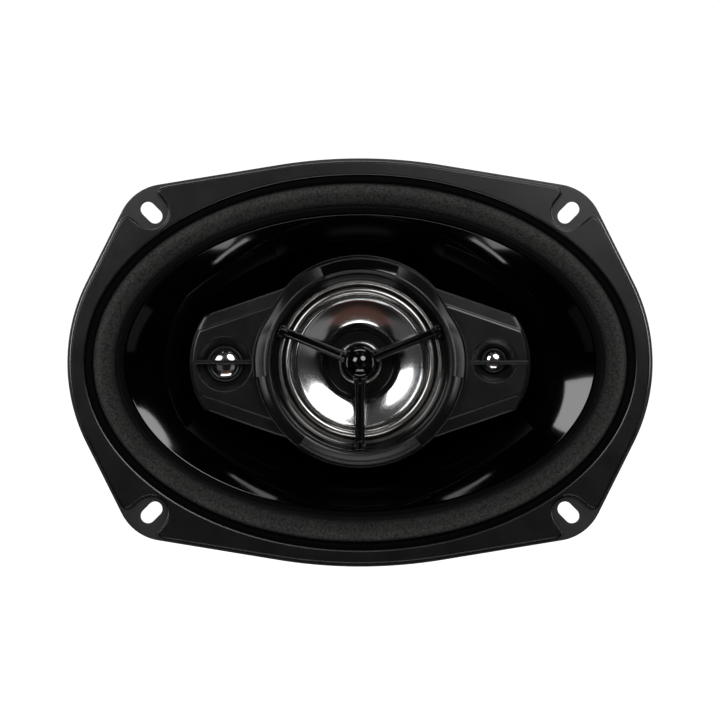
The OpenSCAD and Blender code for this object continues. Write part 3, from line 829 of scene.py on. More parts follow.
@dataclass
class Basket:
    """Pressed steel frame: the flange with its ears and screw slots, and the cage behind it."""

    width: float = 234.8
    height: float = 163.8
    sheet: float = 1.2
    side_r: float = 72
    top_r: float = 204
    ear_r: float = 20
    side_slope: float = 26.6
    top_slope: float = 9.3
    slot_at: Point = (83.6, 60.1)
    slot_w: float = 5.9
    slot_l: float = 9.9
    gasket_top: float = 4.2
    notch_r: float = 6.8
    notch_flare: float = 5
    notch_fillet: float = 3.2
    roll: Point = (107.2, 72.4)

    def quarter(self, inset: float) -> np.ndarray:
        """First quarter of the flange's outline: side arc, straight, ear arc, straight, top arc, moved in by inset.

        Args:
            inset: how far it is moved in.

        Returns:
            The points in order, anticlockwise.
        """
        side = np.array([self.width / 2 - self.side_r, 0])
        top = np.array([0, self.height / 2 - self.top_r])
        faces = np.radians([self.side_slope, 90 - self.top_slope])
        reach = np.array([
            side[0] * np.cos(faces[0]) + self.side_r - self.ear_r, top[1] * np.sin(faces[1]) + self.top_r - self.ear_r,
        ])
        ear = np.linalg.solve(np.stack([np.cos(faces), np.sin(faces)], -1), reach)
        return np.concatenate([
            arc(side, self.side_r - inset, 0, self.side_slope, 24),
            arc(ear, self.ear_r - inset, self.side_slope, 90 - self.top_slope, 24),
            arc(top, self.top_r - inset, 90 - self.top_slope, 90, 24),
        ])

    def at_corner(self, local: np.ndarray) -> np.ndarray:
        """Points given from the first slot's centre, x outwards along the slot, as plan points."""
        return turned_by(np.asarray(local, float), 45) + np.asarray(self.slot_at)

    def notched(self, inset: float) -> np.ndarray:
        """The gasket's outline: the flange's, with a round notch that flares outwards about each slot, all eased.

        Args:
            inset: how far the flange's outline is moved in.

        Returns:
            The closed outline, anticlockwise.
        """
        run = self.quarter(inset)
        run = np.concatenate([np.linspace(a, b, 12, endpoint=False) for a, b in zip(run[:-1], run[1:])] + [run[-1:]])
        t = np.linspace(0, 1, 9)[:, None]
        bay = self.at_corner(arc((0, 0), self.notch_r, -95, -265, 30))
        path = [bay]
        for side in (-1, 1):
            start = self.at_corner(np.array([0, side * self.notch_r]))
            way = polar(1, np.array(45 + side * self.notch_flare))
            gap = run - start
            across = way[0] * gap[:, 1] - way[1] * gap[:, 0]
            cut = int(np.flatnonzero((np.diff(np.sign(across)) != 0) & (gap[:-1] @ way > 0))[0])
            clear = np.linalg.norm(run - run[cut], axis=1) > self.notch_fillet
            kept = run[clear & ((np.arange(len(run)) - cut) * side > 0)]
            ends = [kept[-1 if side < 0 else 0], run[cut], run[cut] - way * self.notch_fillet][::-side]
            fillet = (1 - t) ** 2 * ends[0] + 2 * t * (1 - t) * ends[1] + t**2 * ends[2]
            path = [kept, fillet, *path] if side < 0 else [*path, fillet, kept]
        return eased(four_quarters(np.concatenate(path)), 0.6, 1.0)

    def slot_loops(self) -> list[np.ndarray]:
        """The four slots' outlines, clockwise: two half circles joined by straights, turned to run outwards.

        Returns:
            One closed loop for each slot.
        """
        half = (self.slot_l - self.slot_w) / 2
        ends = [arc((half, 0), self.slot_w / 2, 90, -90, 14), arc((-half, 0), self.slot_w / 2, 270, 90, 14)]
        first = self.at_corner(np.concatenate(ends))
        return [first, (first * [-1, 1])[::-1], -first, (first * [1, -1])[::-1]]

    def flange(self) -> Piece:
        """The flat flange with rounded sheet edges.

        Returns:
            The flange, with its four slots and its oval opening.
        """
        edge = edge_levels(0, self.sheet, 0.35)
        loops = [(evenly(four_quarters(self.quarter(0)), 0.9), edge)]
        loops += [(loop, edge_levels(0, self.sheet, 0.22)) for loop in self.slot_loops()]
        loops.append((oval_loop(self.roll[0] + 0.5, self.roll[1] + 0.5)[::-1], edge_levels(0, self.sheet, 0.2)))
        return weld("flange_sheet", [plate_wall(loop, levels) for loop, levels in loops], fill=True)

    def gasket(self) -> Piece:
        """The moulded ring, rounded at its rim, notched round the slots and stepped under its inner edge.

        Returns:
            The ring.
        """
        low, high = self.sheet, self.gasket_top
        outer = plate_wall(self.notched(1.2), edge_levels(low, high, 0.9, steps=5))
        step = [
            (2.8, low), (2.6, low), (2.6, low + 1), (0.1, low + 1), (0, low + 1.2),
            (0, high - 0.7), (0.2, high - 0.22), (0.7, high), (0.85, high),
        ]
        inner = plate_wall(oval_loop(self.roll[0] + 3, self.roll[1] + 2.6)[::-1], step)
        return weld("trim_gasket_ring", [outer, inner], fill=True)

    def build(self) -> None:
        """Makes and dresses the flange, the cage and the gasket."""
        dress(self.flange(), COATED_STEEL, ["basket"])
        dress(Cage().build(), COATED_STEEL, ["basket"])
        dress(self.gasket(), TRIM_VINYL, ["trim_gasket"])


def plate_wall(loop: np.ndarray, levels: Levels) -> Patch:
    """The rim of a plate or of a hole in it: the loop moved by each level's inset and set at its height."""
    return Patch(stacked([inset_loop(loop, d) for d, _ in levels], [z for _, z in levels]), round_v=False)


@dataclass
class Cage:
    """The pressed wall behind the flange: six arms between rounded windows, the spider's seat and the round cup."""

    top: tuple[float, float, float] = (103.7, 68.7, -8.8)
    foot: tuple[float, float, float] = (45.8, 45.8, -35.5)
    wall: float = 1.1
    window: Point = (0.17, 0.86)
    lead_window: Point = (0.62, 0.88)
    lip: float = 1.3
    arms: tuple[Point, ...] = ((38, 7.5), (90, 16), (142, 7.5), (218, 7.5))
    lead_border: float = 12.6
    lead_edge: float = 9.5
    last_arm: Point = (322, 7.5)
    lead_arm: float = 16
    side: int = 14
    rings: int = 7

    def bays(self) -> list[tuple[tuple[float, ...], Point]]:
        """Each bay's two border lines and its window's two edges, as directions and sideways offsets, and its depth.

        Returns:
            For each bay its six numbers and its window's lowest and highest depth.
        """
        out = []
        for (a, wa), (b, wb) in zip(self.arms[:-1], self.arms[1:]):
            out.append(((a, 0, b, 0, wa, -wb), self.window))
        out.append(((218, 0, 270, -self.lead_border, self.arms[3][1], -self.lead_arm), self.window))
        out.append(((270, -self.lead_border, 270, self.lead_border, -self.lead_edge, self.lead_edge), self.lead_window))
        out.append(((270, self.lead_border, 322, 0, self.lead_arm, -self.last_arm[1]), self.window))
        out.append(((322, 0, 398, 0, self.last_arm[1], -self.arms[0][1]), self.window))
        return out

    def on_wall(self, turn: np.ndarray, down: np.ndarray) -> np.ndarray:
        """The wall's point in a direction, down of the way from the top oval to the foot circle: the ray in that
        direction meets the oval whose half lengths and height are the two ends' blended.

        Args:
            turn: directions in degrees.
            down: depths, 0 at the top and 1 at the foot.

        Returns:
            The points.
        """
        a, b, z = (self.top[k] + (self.foot[k] - self.top[k]) * down for k in range(3))
        c, s = np.cos(np.radians(turn)), np.sin(np.radians(turn))
        reach = 1 / np.hypot(c / a, s / b)
        return np.stack([reach * c, reach * s, z], -1)

    def line(self, direction: float, offset: float, down: np.ndarray) -> np.ndarray:
        """The direction, at each depth, of a line that keeps its distance from the radius in a given direction."""
        reach = np.linalg.norm(self.on_wall(np.full_like(down, direction), down)[..., :2], axis=-1)
        return direction + np.degrees(np.arcsin(offset / reach))

    def bay(self, lines: tuple[float, ...], depth: Point) -> np.ndarray:
        """One bay as a ring of facets between its border and its window.

        A point runs round the square (h, v); the window is that square made round by dividing by the sixth-power
        norm, and the border is the square itself. Between them the point moves evenly, and near the window the
        skin curls outwards by lip (1 - q)^3.

        Args:
            lines: the bay's two border lines and its window's two edges, as bays gives them.
            depth: the window's two depths.

        Returns:
            The grid, from the window out to the border.
        """
        t = np.linspace(-1, 1, self.side, endpoint=False)
        one = np.ones_like(t)
        h = np.concatenate([t, one, -t, -one])
        v = np.concatenate([-one, t, one, -t])
        d0, o0, d1, o1, e0, e1 = lines
        low, high = depth
        norm = (h**6 + v**6) ** (1 / 6)
        down_in = (low + high) / 2 + v / norm * (high - low) / 2
        first, last = self.line(d0, e0, down_in), self.line(d1, e1, down_in)
        turn_in = first + (last - first) * (h / norm + 1) / 2
        down_out = (v + 1) / 2
        first, last = self.line(d0, o0, down_out), self.line(d1, o1, down_out)
        turn_out = first + (last - first) * (h + 1) / 2
        q = np.linspace(0, 1, self.rings)[None, :] ** 1.4
        turn = turn_in[:, None] + (turn_out - turn_in)[:, None] * q
        down = down_in[:, None] + (down_out - down_in)[:, None] * q
        skin = self.on_wall(turn, down)
        outward = np.concatenate([0.45 * polar(1, turn), np.full(turn.shape + (1,), -0.89)], -1)
        return skin + outward * (self.lip * (1 - q) ** 3)[..., None]

    def band(self, turns: np.ndarray, path: Sequence[tuple[float, float, float]]) -> np.ndarray:
        """The unbroken part above or below the windows: a path of ovals, softened, met in the given directions.

        Args:
            turns: the directions in degrees.
            path: half lengths and height of each oval.

        Returns:
            The grid, one row for each direction.
        """
        line = soften(path, 1.6, 4, closed=False)
        c, s = np.cos(np.radians(turns))[:, None], np.sin(np.radians(turns))[:, None]
        reach = 1 / np.hypot(c / line[:, 0], s / line[:, 1])
        return np.stack([reach * c, reach * s, line[:, 2] + 0 * reach], -1)

    def build(self) -> Piece:
        """The cage as one skin, thickened to the sheet.

        Returns:
            The cage.
        """
        patches, top_turns, foot_turns = [], [], []
        t = np.linspace(-1, 1, self.side, endpoint=False)
        for lines, depth in self.bays():
            patches.append(Patch(self.bay(lines, depth), round_v=False))
            for down, turns in ((0.0, top_turns), (1.0, foot_turns)):
                ends = [self.line(lines[k], lines[k + 1], np.array([down]))[0] for k in (0, 2)]
                turns.append(ends[0] + (ends[1] - ends[0]) * (t + 1) / 2)
        upper = [(107.75, 72.95, 0.6), (107.75, 72.95, -2.0), self.top]
        lower = [self.foot, (39.5, 39.5, -35.5), (39.5, 39.5, -46.45), (15.5, 15.5, -46.45)]
        patches.append(Patch(self.band(np.concatenate(top_turns), upper), round_v=False))
        patches.append(Patch(self.band(np.concatenate(foot_turns), lower), round_v=False))
        cage = weld("basket_cage", patches)
        wall = cage.modifiers.new("sheet", "SOLIDIFY")
        wall.thickness, wall.offset = self.wall * MM, 0
        return cage


@dataclass
class Woofer:
    """The large moving cone with its surround and spider."""

    roll: Point = (107.2, 72.4)
    roll_w: float = 9.6
    roll_h: float = 4.4
    roll_lip: float = 0.3
    roll_rise: float = 0.9
    foam: float = 0.8
    rim: Point = (96.4, 61.6)
    start: Point = (94.2, 59.4)
    lip_z: float = -0.02
    paper: float = 0.8
    neck: float = 13.3
    depth: float = 31
    flare: float = 0.7
    flare_reach: float = 0.3
    spider: Point = (13.5, 44.6)
    spider_z: float = -35
    waves: Point = (16, 38.5)
    wave_h: float = 1.1
    cloth: float = 0.5

    def surround(self) -> Piece:
        """The half roll: height lip + rise (1 + cos t)/2 + h sin t over its width, with its two glued edges.

        Returns:
            The surround, one closed profile carried round the oval.
        """
        t = np.radians(np.linspace(4, 176, 22))
        mid = np.array(self.roll) - self.roll_w / 2

        def skin(half: float, lift: float) -> np.ndarray:
            """One side of the roll, from its outer edge in."""
            z = self.roll_lip + self.roll_rise * (1 + np.cos(t)) / 2 + self.roll_h * np.sin(t) + lift
            return np.stack([mid[0] + half * np.cos(t), mid[1] + half * np.cos(t), z], -1)

        top, under = skin(self.roll_w / 2, self.foam), skin(self.roll_w / 2 - self.foam, 0)
        line = np.concatenate([
            [(self.roll[0] + 5, self.roll[1] + 4, 1.25), (self.roll[0] + 5, self.roll[1] + 4, 2.0)],
            [(self.roll[0] + 0.5, self.roll[1] + 0.5, 2.0)], top,
            [(96.3, 61.5, 1.15), (94.75, 59.95, 1.1), (94.6, 59.8, 0.35)], under[::-1],
        ])
        return weld("foam_surround", [Patch(oval_sweep(soften(line, 0.3, 2), 288))], crease=60)

    def cone(self) -> Piece:
        """The oval cone: walls from its rim to the round neck, raised near the rim by flare sin(pi down / reach), and
        the glued collar below.

        Returns:
            The cone, one closed profile carried round the oval.
        """
        down = np.linspace(0, 1, 91)[:, None] ** 1.25
        rim, foot = np.array([*self.start, self.lip_z]), np.array([self.neck, self.neck, -self.depth])
        inner = rim + (foot - rim) * down
        inner[:, 2] += self.flare * np.sin(np.pi * np.clip(down[:, 0] / self.flare_reach, 0, 1))
        under = (self.rim[0] - 1.6, self.rim[1] - 1.6, -0.85)
        outside = self.neck + self.paper
        outer = np.linspace((outside, outside, -self.depth - 0.6), under, 24)
        collar = -self.depth - 2.5

        def rounded(*corners: tuple[float, ...]) -> np.ndarray:
            """The corners between the first and the last, rounded."""
            return soften(corners, 0.2, 2, closed=False)[3:-3]

        foot_in, foot_out = (self.neck, self.neck, collar), (outside, outside, collar)
        line = np.concatenate([
            rounded(outer[-1], (*self.rim, -0.8), (*self.rim, self.lip_z), inner[0]), inner,
            rounded(inner[-1], foot_in, foot_out, outer[0]), outer,
        ])
        return weld("oval_cone", [Patch(oval_sweep(line, 400))])

    def spider_disc(self) -> Piece:
        """The centring disc: height wave_h times the sine of five waves over its middle, flat at both glued edges.

        Returns:
            The disc.
        """
        first, last = self.waves
        r = np.concatenate([[self.spider[0]], np.linspace(first, last, 101), [self.spider[1]]])
        inside = (r >= first) & (r <= last)
        z = self.spider_z + np.where(inside, self.wave_h * np.sin(10 * np.pi * (r - first) / (last - first)), 0)
        loop = np.concatenate([np.stack([r, z], -1), np.stack([r, z + self.cloth], -1)[::-1]])
        return weld("corrugated_spider", [solid(loop, steps=144)], crease=60)

    def build(self) -> None:
        """Makes and dresses the surround, the cone and the spider."""
        dress(self.cone(), CONE_GLOSS, ["woofer_cone"], "woofer")
        surround = dress(self.surround(), FOAM, ["surround"], None)
        # Painted light across the roll: rise is 0, a painted shade, in the groove by the gasket and at the inner edge,
        # and highest, a painted highlight, on the outer side of the crest.
        lip = (self.roll[0] + 3, self.roll[1] + 2.6)
        across = (0.2, 0.27, 0.32, 0.4, 0.55, 0.68, 0.75, 0.79, 0.83)
        tone = (0, 0.17, 0.28, 0.38, 0.37, 0.58, 0.58, 0.38, 0)
        paint(surround, "rise", lambda p: np.interp(between_ovals(p, self.start, lip), across, tone))
        inner = (self.roll[0] - self.roll_w, self.roll[1] - self.roll_w)
        bend(surround, "woofer", lambda p: 1 - between_ovals(p, inner, self.roll))
        spider = dress(self.spider_disc(), SPIDER_CLOTH, ["spider"], None)
        bend(spider, "woofer", lambda p: (self.waves[1] - np.hypot(p[:, 0], p[:, 1])) / (self.waves[1] - self.waves[0]))


@dataclass
class Motor:
    """Front plate, ferrite ring and yoke behind the basket."""

    front: float = -47
    plate_r: float = 44
    bore_r: float = 14.2
    magnet_r: float = 47
    plate: float = 6
    magnet: float = 18

    def ring(self, name: str, inner: float, outer: float, low: float, high: float, edge: float) -> Piece:
        """A ring between two radii with softened edges."""
        profile = soften([(inner, low), (outer, low), (outer, high), (inner, high)], edge, 4)
        return weld(name, [solid(profile, steps=144)])

    def build(self) -> None:
        """Makes and dresses the plate, the magnet, the yoke and the rivets."""
        back = self.front - self.plate
        plate = self.ring("front_plate_ring", self.bore_r, self.plate_r, back, self.front, 0.6)
        dress(plate, ZINC_STEEL, ["front_plate"])
        magnet = self.ring("ferrite_ring", 22, self.magnet_r, back - self.magnet + 0.02, back - 0.02, 1.1)
        dress(magnet, FERRITE, ["magnet"])
        refined("yoke", ZINC_STEEL, 0.6)
        refined("plate_rivets", RIVET_STEEL, 0.3)


@dataclass
class Terminals:
    """Terminal board, its two tabs and the leads that the speaker carries."""

    tab_x: float = 7
    tinsel: tuple[Point, ...] = (
        (-52, -33.9), (-51.9, -31.5), (-51.2, -28.8), (-49.6, -26.4), (-47, -24.8), (-43.6, -24.4),
        (-40, -25), (-36.6, -26.2), (-33.4, -27), (-30.6, -26.8), (-28.4, -25.6), (-27.4, -24.4),
    )
    bridge_lead: tuple[Point, ...] = (
        (-16, 0), (-30, 0), (-45, 0), (-60, 0), (-72, 0), (-74, -0.4), (-75.4, -1.6), (-76, -3.6), (-76, -14),
        (-76, -30), (-76, -42), (-75.6, -46), (-74, -48.4), (-71, -49.4), (-60, -49.6), (-48, -49.6), (-38.1, -49.6),
    )

    def leads(self, name: str, route: Sequence[Point], apart: float, radius: float) -> Piece:
        """A pair of round leads along one softened route of y and z, either side of the middle.

        Args:
            name: the piece's name.
            route: the route's y and z.
            apart: each lead's distance from the middle.
            radius: a lead's radius.

        Returns:
            Both leads as one piece.
        """
        line = soften(route, 3, 3, closed=False)
        line = line[np.concatenate([[True], np.linalg.norm(np.diff(line, axis=0), axis=1) > 1e-4])]
        paths = [np.insert(line, 0, side * apart, axis=1) for side in (-1, 1)]
        return weld(name, [Patch(tube(path, radius), round_u=False, capped=True) for path in paths])

    def build(self) -> None:
        """Makes and dresses the leads, and refines the board, the tabs and their rivets."""
        refined("terminal_board", BOARD, 0.2)
        refined("positive_terminal", TINNED, 0.12)
        refined("negative_terminal", TINNED, 0.12)
        refined("terminal_rivets", TINNED, 0.15)
        tinsel = dress(self.leads("tinsel_pair", self.tinsel, self.tab_x, 0.9), BRAID, ["tinsel_leads"], None)
        bend(tinsel, "woofer", lambda p: (p[:, 1] + 50) / 20)
        route = [(y, z) for z, y in self.bridge_lead]
        dress(self.leads("bridge_lead_pair", route, 0.85, 0.7), RED_LEAD, ["bridge_leads"])


@dataclass
class Bridge:
    """The moulded bridge over the cone: a round bezel, two wings with driver recesses, its trims and its guard."""

    bezel_r: float = 42.8
    ledge: float = 5
    front: float = 17
    rear: float = -3
    step_y: float = -5.6
    badge_half: float = 22.8
    trim_half: float = 37
    clearance: float = 0.5
    wing_reach: float = 68.2
    wing_end_r: float = 32.2
    wing_faces: float = 71
    wing_edge: float = 38.1
    socket_r: float = 41.3
    dent: float = 1.9
    dent_from: float = 37
    dent_at: float = 31
    dent_spread: float = 14
    hub_r: float = 6.35
    hub_seat: float = 11.9
    hub_rise: float = 2.9
    spokes: tuple[float, ...] = (22, 158, 270)

    def bezel(self) -> Piece:
        """The bezel: a closed profile carried round the axis, whose face is high above the side steps, lower below
        them, and cut down where the badge and the trim sit. Two profiles at one angle make each step's wall.

        Returns:
            The bezel, with its seats for the badge and the trim.
        """
        foot = [(41.2, self.rear), (self.bezel_r, self.rear)]
        inside = [
            (35.3, 12), (34.8, self.ledge), (32, self.ledge), (32, self.ledge - 1.4), (36.1, self.ledge - 1.4),
            (36.9, 12.2), (39.8, 11.4), (41.0, 10),
        ]
        lip = foot + [
            (self.bezel_r, 12.3), (42.72, 12.8), (42.45, 13.0), (42.1, 12.9),
            (41.95, 12.0), (41.65, 12.0), (41.55, 14.1),
        ]
        low_lip = foot + [
            (41.9, 8.6), (41.8, 12.0), (41.5, 12.3), (41.2, 12.2), (41.05, 11.6), (40.85, 11.6), (40.75, 13.0),
        ]
        high = lip + [(38.1, 16.3), (37.2, self.front), (36.2, self.front), (35.5, 16.2)] + inside
        low = low_lip + [(38.2, 15.0), (37.3, 15.5), (36.3, 15.5), (35.6, 14.8)] + inside
        badge_seat = lip + [(41.4, 14.3), (36.6, 14.4), (36.1, 14.4), (35.5, 14.1)] + inside
        trim_seat = low_lip + [(40.6, 12.9), (37.4, 14.0), (36.5, 14.0), (35.7, 13.7)] + inside
        step = -np.degrees(np.arcsin(self.step_y / 39.5))
        runs = [
            (-step, 90 - self.badge_half, high), (90 - self.badge_half, 90 + self.badge_half, badge_seat),
            (90 + self.badge_half, 180 + step, high), (180 + step, 270 - self.trim_half, low),
            (270 - self.trim_half, 270 + self.trim_half, trim_seat), (270 + self.trim_half, 360 - step, low),
        ]
        rows = []
        for start, end, profile in runs:
            line = soften(profile, 0.28, 3)
            rows.append(revolve(line, steps=int((end - start) / 1.5) + 1, start=start + 0.02, sweep=end - start - 0.04))
        bezel = weld("bridge_bezel", [Patch(self.dented(np.concatenate(rows)))], crease=32)
        bevelled(bezel, "step_edges", 0.16, 50)
        return bezel

    def dented(self, grid: np.ndarray) -> np.ndarray:
        """The bezel with its rim drawn in above each wing: a point outside dent_from loses dent times its share of the
        way to the rim, times a bell curve of its direction about dent_at and its mirror image.

        Args:
            grid: the bezel's points.

        Returns:
            The moved points.
        """
        radius = np.hypot(grid[..., 0], grid[..., 1])
        turn = np.degrees(np.arctan2(grid[..., 1], np.abs(grid[..., 0])))
        share = np.clip((radius - self.dent_from) / (self.bezel_r - self.dent_from), 0, 1)
        loss = self.dent * share * np.exp(-(((turn - self.dent_at) / self.dent_spread) ** 2))
        out = grid.copy()
        out[..., :2] *= (1 - loss / radius)[..., None]
        return out

    def liner(self) -> Piece:
        """The glossy wall inside the bezel, from its lip down to the mid-range driver's seat."""
        profile = soften([
            (34.5, 5.1), (35.25, 12.1), (35.25, 13.2), (35.05, 13.2), (34.9, 9.0),
            (32.9, 7.25), (32.5, 7.2), (32.5, 6.95), (33.95, 6.9), (34.2, 5.4),
        ], 0.12, 2)
        return weld("bezel_liner", [solid(profile, steps=144)], crease=30)

    def insert(self, profile: np.ndarray, steps: int, middle: float, half: float) -> Patch:
        """A profile carried round the bezel, half degrees either way of a direction less the insert's clearance."""
        return solid(profile, steps=steps, start=middle - half + self.clearance, sweep=2 * (half - self.clearance))

    def badge(self) -> Piece:
        """The blank glossy plaque in the top of the bezel."""
        profile = soften([
            (36.1, 14.45), (41.3, 14.35), (41.45, 15.5), (41.1, 15.95), (37.3, 17.0), (36.6, 17.0), (36.1, 16.6),
        ], 0.25, 3)
        return weld("badge_plaque", [self.insert(profile, 30, 90, self.badge_half)])

    def lower_trim(self) -> Piece:
        """The curved insert in the bottom of the bezel: a sunk face inside a raised lip."""
        profile = soften([
            (36.6, 14.05), (40.7, 12.95), (41.0, 14.2), (40.7, 15.3), (40.1, 15.8),
            (39.5, 15.4), (38.9, 14.5), (37.2, 15.2), (36.7, 15.2),
        ], 0.2, 3)
        return weld("lower_trim_insert", [self.insert(profile, 40, 270, self.trim_half)])

    def wing_loop(self, inset: float, end_inset: float, socket: float) -> np.ndarray:
        """The right wing's outline: end arc, upper edge, socket arc against the bezel, lower edge.

        Each edge faces a fixed direction at a fixed distance from the centre, less the inset. It leaves the end arc,
        which has an inset of its own, where the arc's circle has that distance, and it meets the socket's circle at
        that distance too.

        Args:
            inset: how far the two edges are moved in.
            end_inset: how far the end arc is moved in.
            socket: radius of the arc against the bezel.

        Returns:
            The closed outline.
        """
        centre = self.wing_reach - self.wing_end_r
        edge, end_r = self.wing_edge - inset, self.wing_end_r - end_inset
        leave = self.wing_faces - np.degrees(np.arccos((edge - centre * np.cos(np.radians(self.wing_faces))) / end_r))
        meet = self.wing_faces - np.degrees(np.arccos(edge / socket))
        end = arc((centre, 0), end_r, -leave, leave, 28)
        back = arc((0, 0), socket, meet, -meet, 28)
        upper = np.linspace(end[-1], back[0], 18)[1:-1]
        lower = np.linspace(back[-1], end[0], 18)[1:-1]
        return np.concatenate([end, upper, back, lower])

    def wing(self, side: int, place: Point, well_r: float, mouth_r: float) -> Piece:
        """One wing as a closed shell: a bevelled top, an inner skin 1.6 below it, and the driver's flared well.

        Args:
            side: 1 for the right wing, -1 for the left.
            place: the driver's centre.
            well_r: the well's radius at its foot.
            mouth_r: its radius at the top.

        Returns:
            The wing.
        """
        inner = [(1.7, 1.7, 5.35), (1.6, 1.6, 5.0), (1.6, 1.6, self.rear)]
        outer = [
            (0, 0, self.rear), (0, 0, 5.5), (0.07, 0.07, 5.8), (0.25, 0.25, 6.25), (0.7, 0.6, 6.6),
            (0.95, 0.63, 6.607), (4.65, 0.93, 6.713), (4.9, 0.95, 6.72),
            (5.1, 1.15, 6.84), (5.3, 1.5, 6.95), (6.0, 1.9, 7.0), (6.2, 2.1, 7.0),
        ]
        loops = [self.wing_loop(d, e, self.socket_r + 0.9) for d, e, _ in inner]
        loops += [self.wing_loop(d, e, self.socket_r) for d, e, _ in outer]
        flip = np.array([side, 1])
        skin = Patch(stacked([loop * flip for loop in loops], [z for *_, z in inner + outer]), round_v=False)
        tube_r = mouth_r - 0.75
        flare = soften([
            (mouth_r + 0.3, 7.0), (mouth_r + 0.15, 7.0), (mouth_r - 0.15, 6.75), (mouth_r - 0.5, 5.9),
            (mouth_r - 1.4, 4.4), (well_r + 0.6, 2.3), (well_r, 1.4), (well_r, self.rear),
        ], 0.4, 3, closed=False)
        profile = np.concatenate([flare, [(tube_r, self.rear), (tube_r, 5.0), (tube_r, 5.35)]])
        well = Patch(revolve(profile, 72, centre=place), round_v=False)
        return weld("left_wing" if side < 0 else "right_wing", [skin, well], fill=True, crease=30)

    def guard_bar(self, name: str, x: Point, y: float) -> Piece:
        """A bar with rounded edges across a driver's recess."""
        return weld(name, [rounded_bar((x[0], y - 0.85, 5.5), (x[1], y + 0.85, 7.5), 0.4)], fill=True)

    def guard(self) -> Piece:
        """Three twin-rail spokes, each with a web between its rails, a claw at the hub and a clip at the bezel.

        Returns:
            The three spokes as one piece.
        """
        parts = []
        for spoke in self.spokes:
            bars = [rounded_bar((6.0, s * 1.25 - 0.6, 11), (34.6, s * 1.25 + 0.6, 13.3), 0.38) for s in (-1, 1)]
            bars += [
                rounded_bar((5.6, -0.8, 11.05), (34.2, 0.8, 12.1), 0.2),
                rounded_bar((5.9, -2.5, 10.6), (8.6, 2.5, 12.9), 0.5),
                rounded_bar((32.6, -2.5, 10.9), (34.9, 2.5, 13.6), 0.5),
                rounded_bar((31.0, -1.1, 11.2), (34.8, 1.1, 13.8), 0.4),
                rounded_bar((32.9, -2.2, 6.6), (34.2, 2.2, 11.4), 0.3),
            ]
            parts += [turned_patch(bar, spoke) for bar in bars]
        return weld("spoke_guard_rails", parts, fill=True)

    def hub(self) -> Piece:
        """The domed hub that the spokes hold.

        Returns:
            The hub.
        """
        t = np.radians(np.linspace(0, 72, 15))[::-1]
        rise = (np.cos(t) - np.cos(t[0])) / (1 - np.cos(t[0]))
        dome = np.stack([self.hub_r * np.sin(t) / np.sin(t[0]), self.hub_seat + self.hub_rise * rise], -1)
        profile = np.concatenate([[(0, 9.6), (6.1, 9.6), (6.5, 10.0), (6.5, 11.7)], dome])
        return weld("spoke_hub", [Patch(revolve(profile, 96), round_v=False)], crease=50)

    def build(self) -> None:
        """Makes and dresses the bridge's pieces."""
        moulding = ["bridge_housing"]
        dress(self.bezel(), BRIDGE_SATIN, moulding)
        dress(self.liner(), PIANO_BLACK, moulding)
        for piece in (
            self.wing(-1, TWEETER_AT, 7.4, 11.0), self.wing(1, SUPER_TWEETER_AT, 5.3, 8.8),
            self.guard_bar("left_guard_bar", (-67.3, -42.2), 0.2), self.guard_bar("right_guard_bar", (42.2, 67.3), 0.0),
        ):
            dress(piece, BRIDGE_SATIN, moulding)
        dress(self.badge(), PIANO_BLACK, ["badge_plate"])
        dress(self.lower_trim(), TRIM_SATIN, ["lower_trim"])
        dress(self.guard(), PIANO_BLACK, ["spoke_guard"])
        dress(self.hub(), PIANO_BLACK, ["spoke_guard"])
        refined("bridge_base", BRIDGE_SATIN, 0.25)
        refined("bridge_post", BRIDGE_SATIN, 0.4)


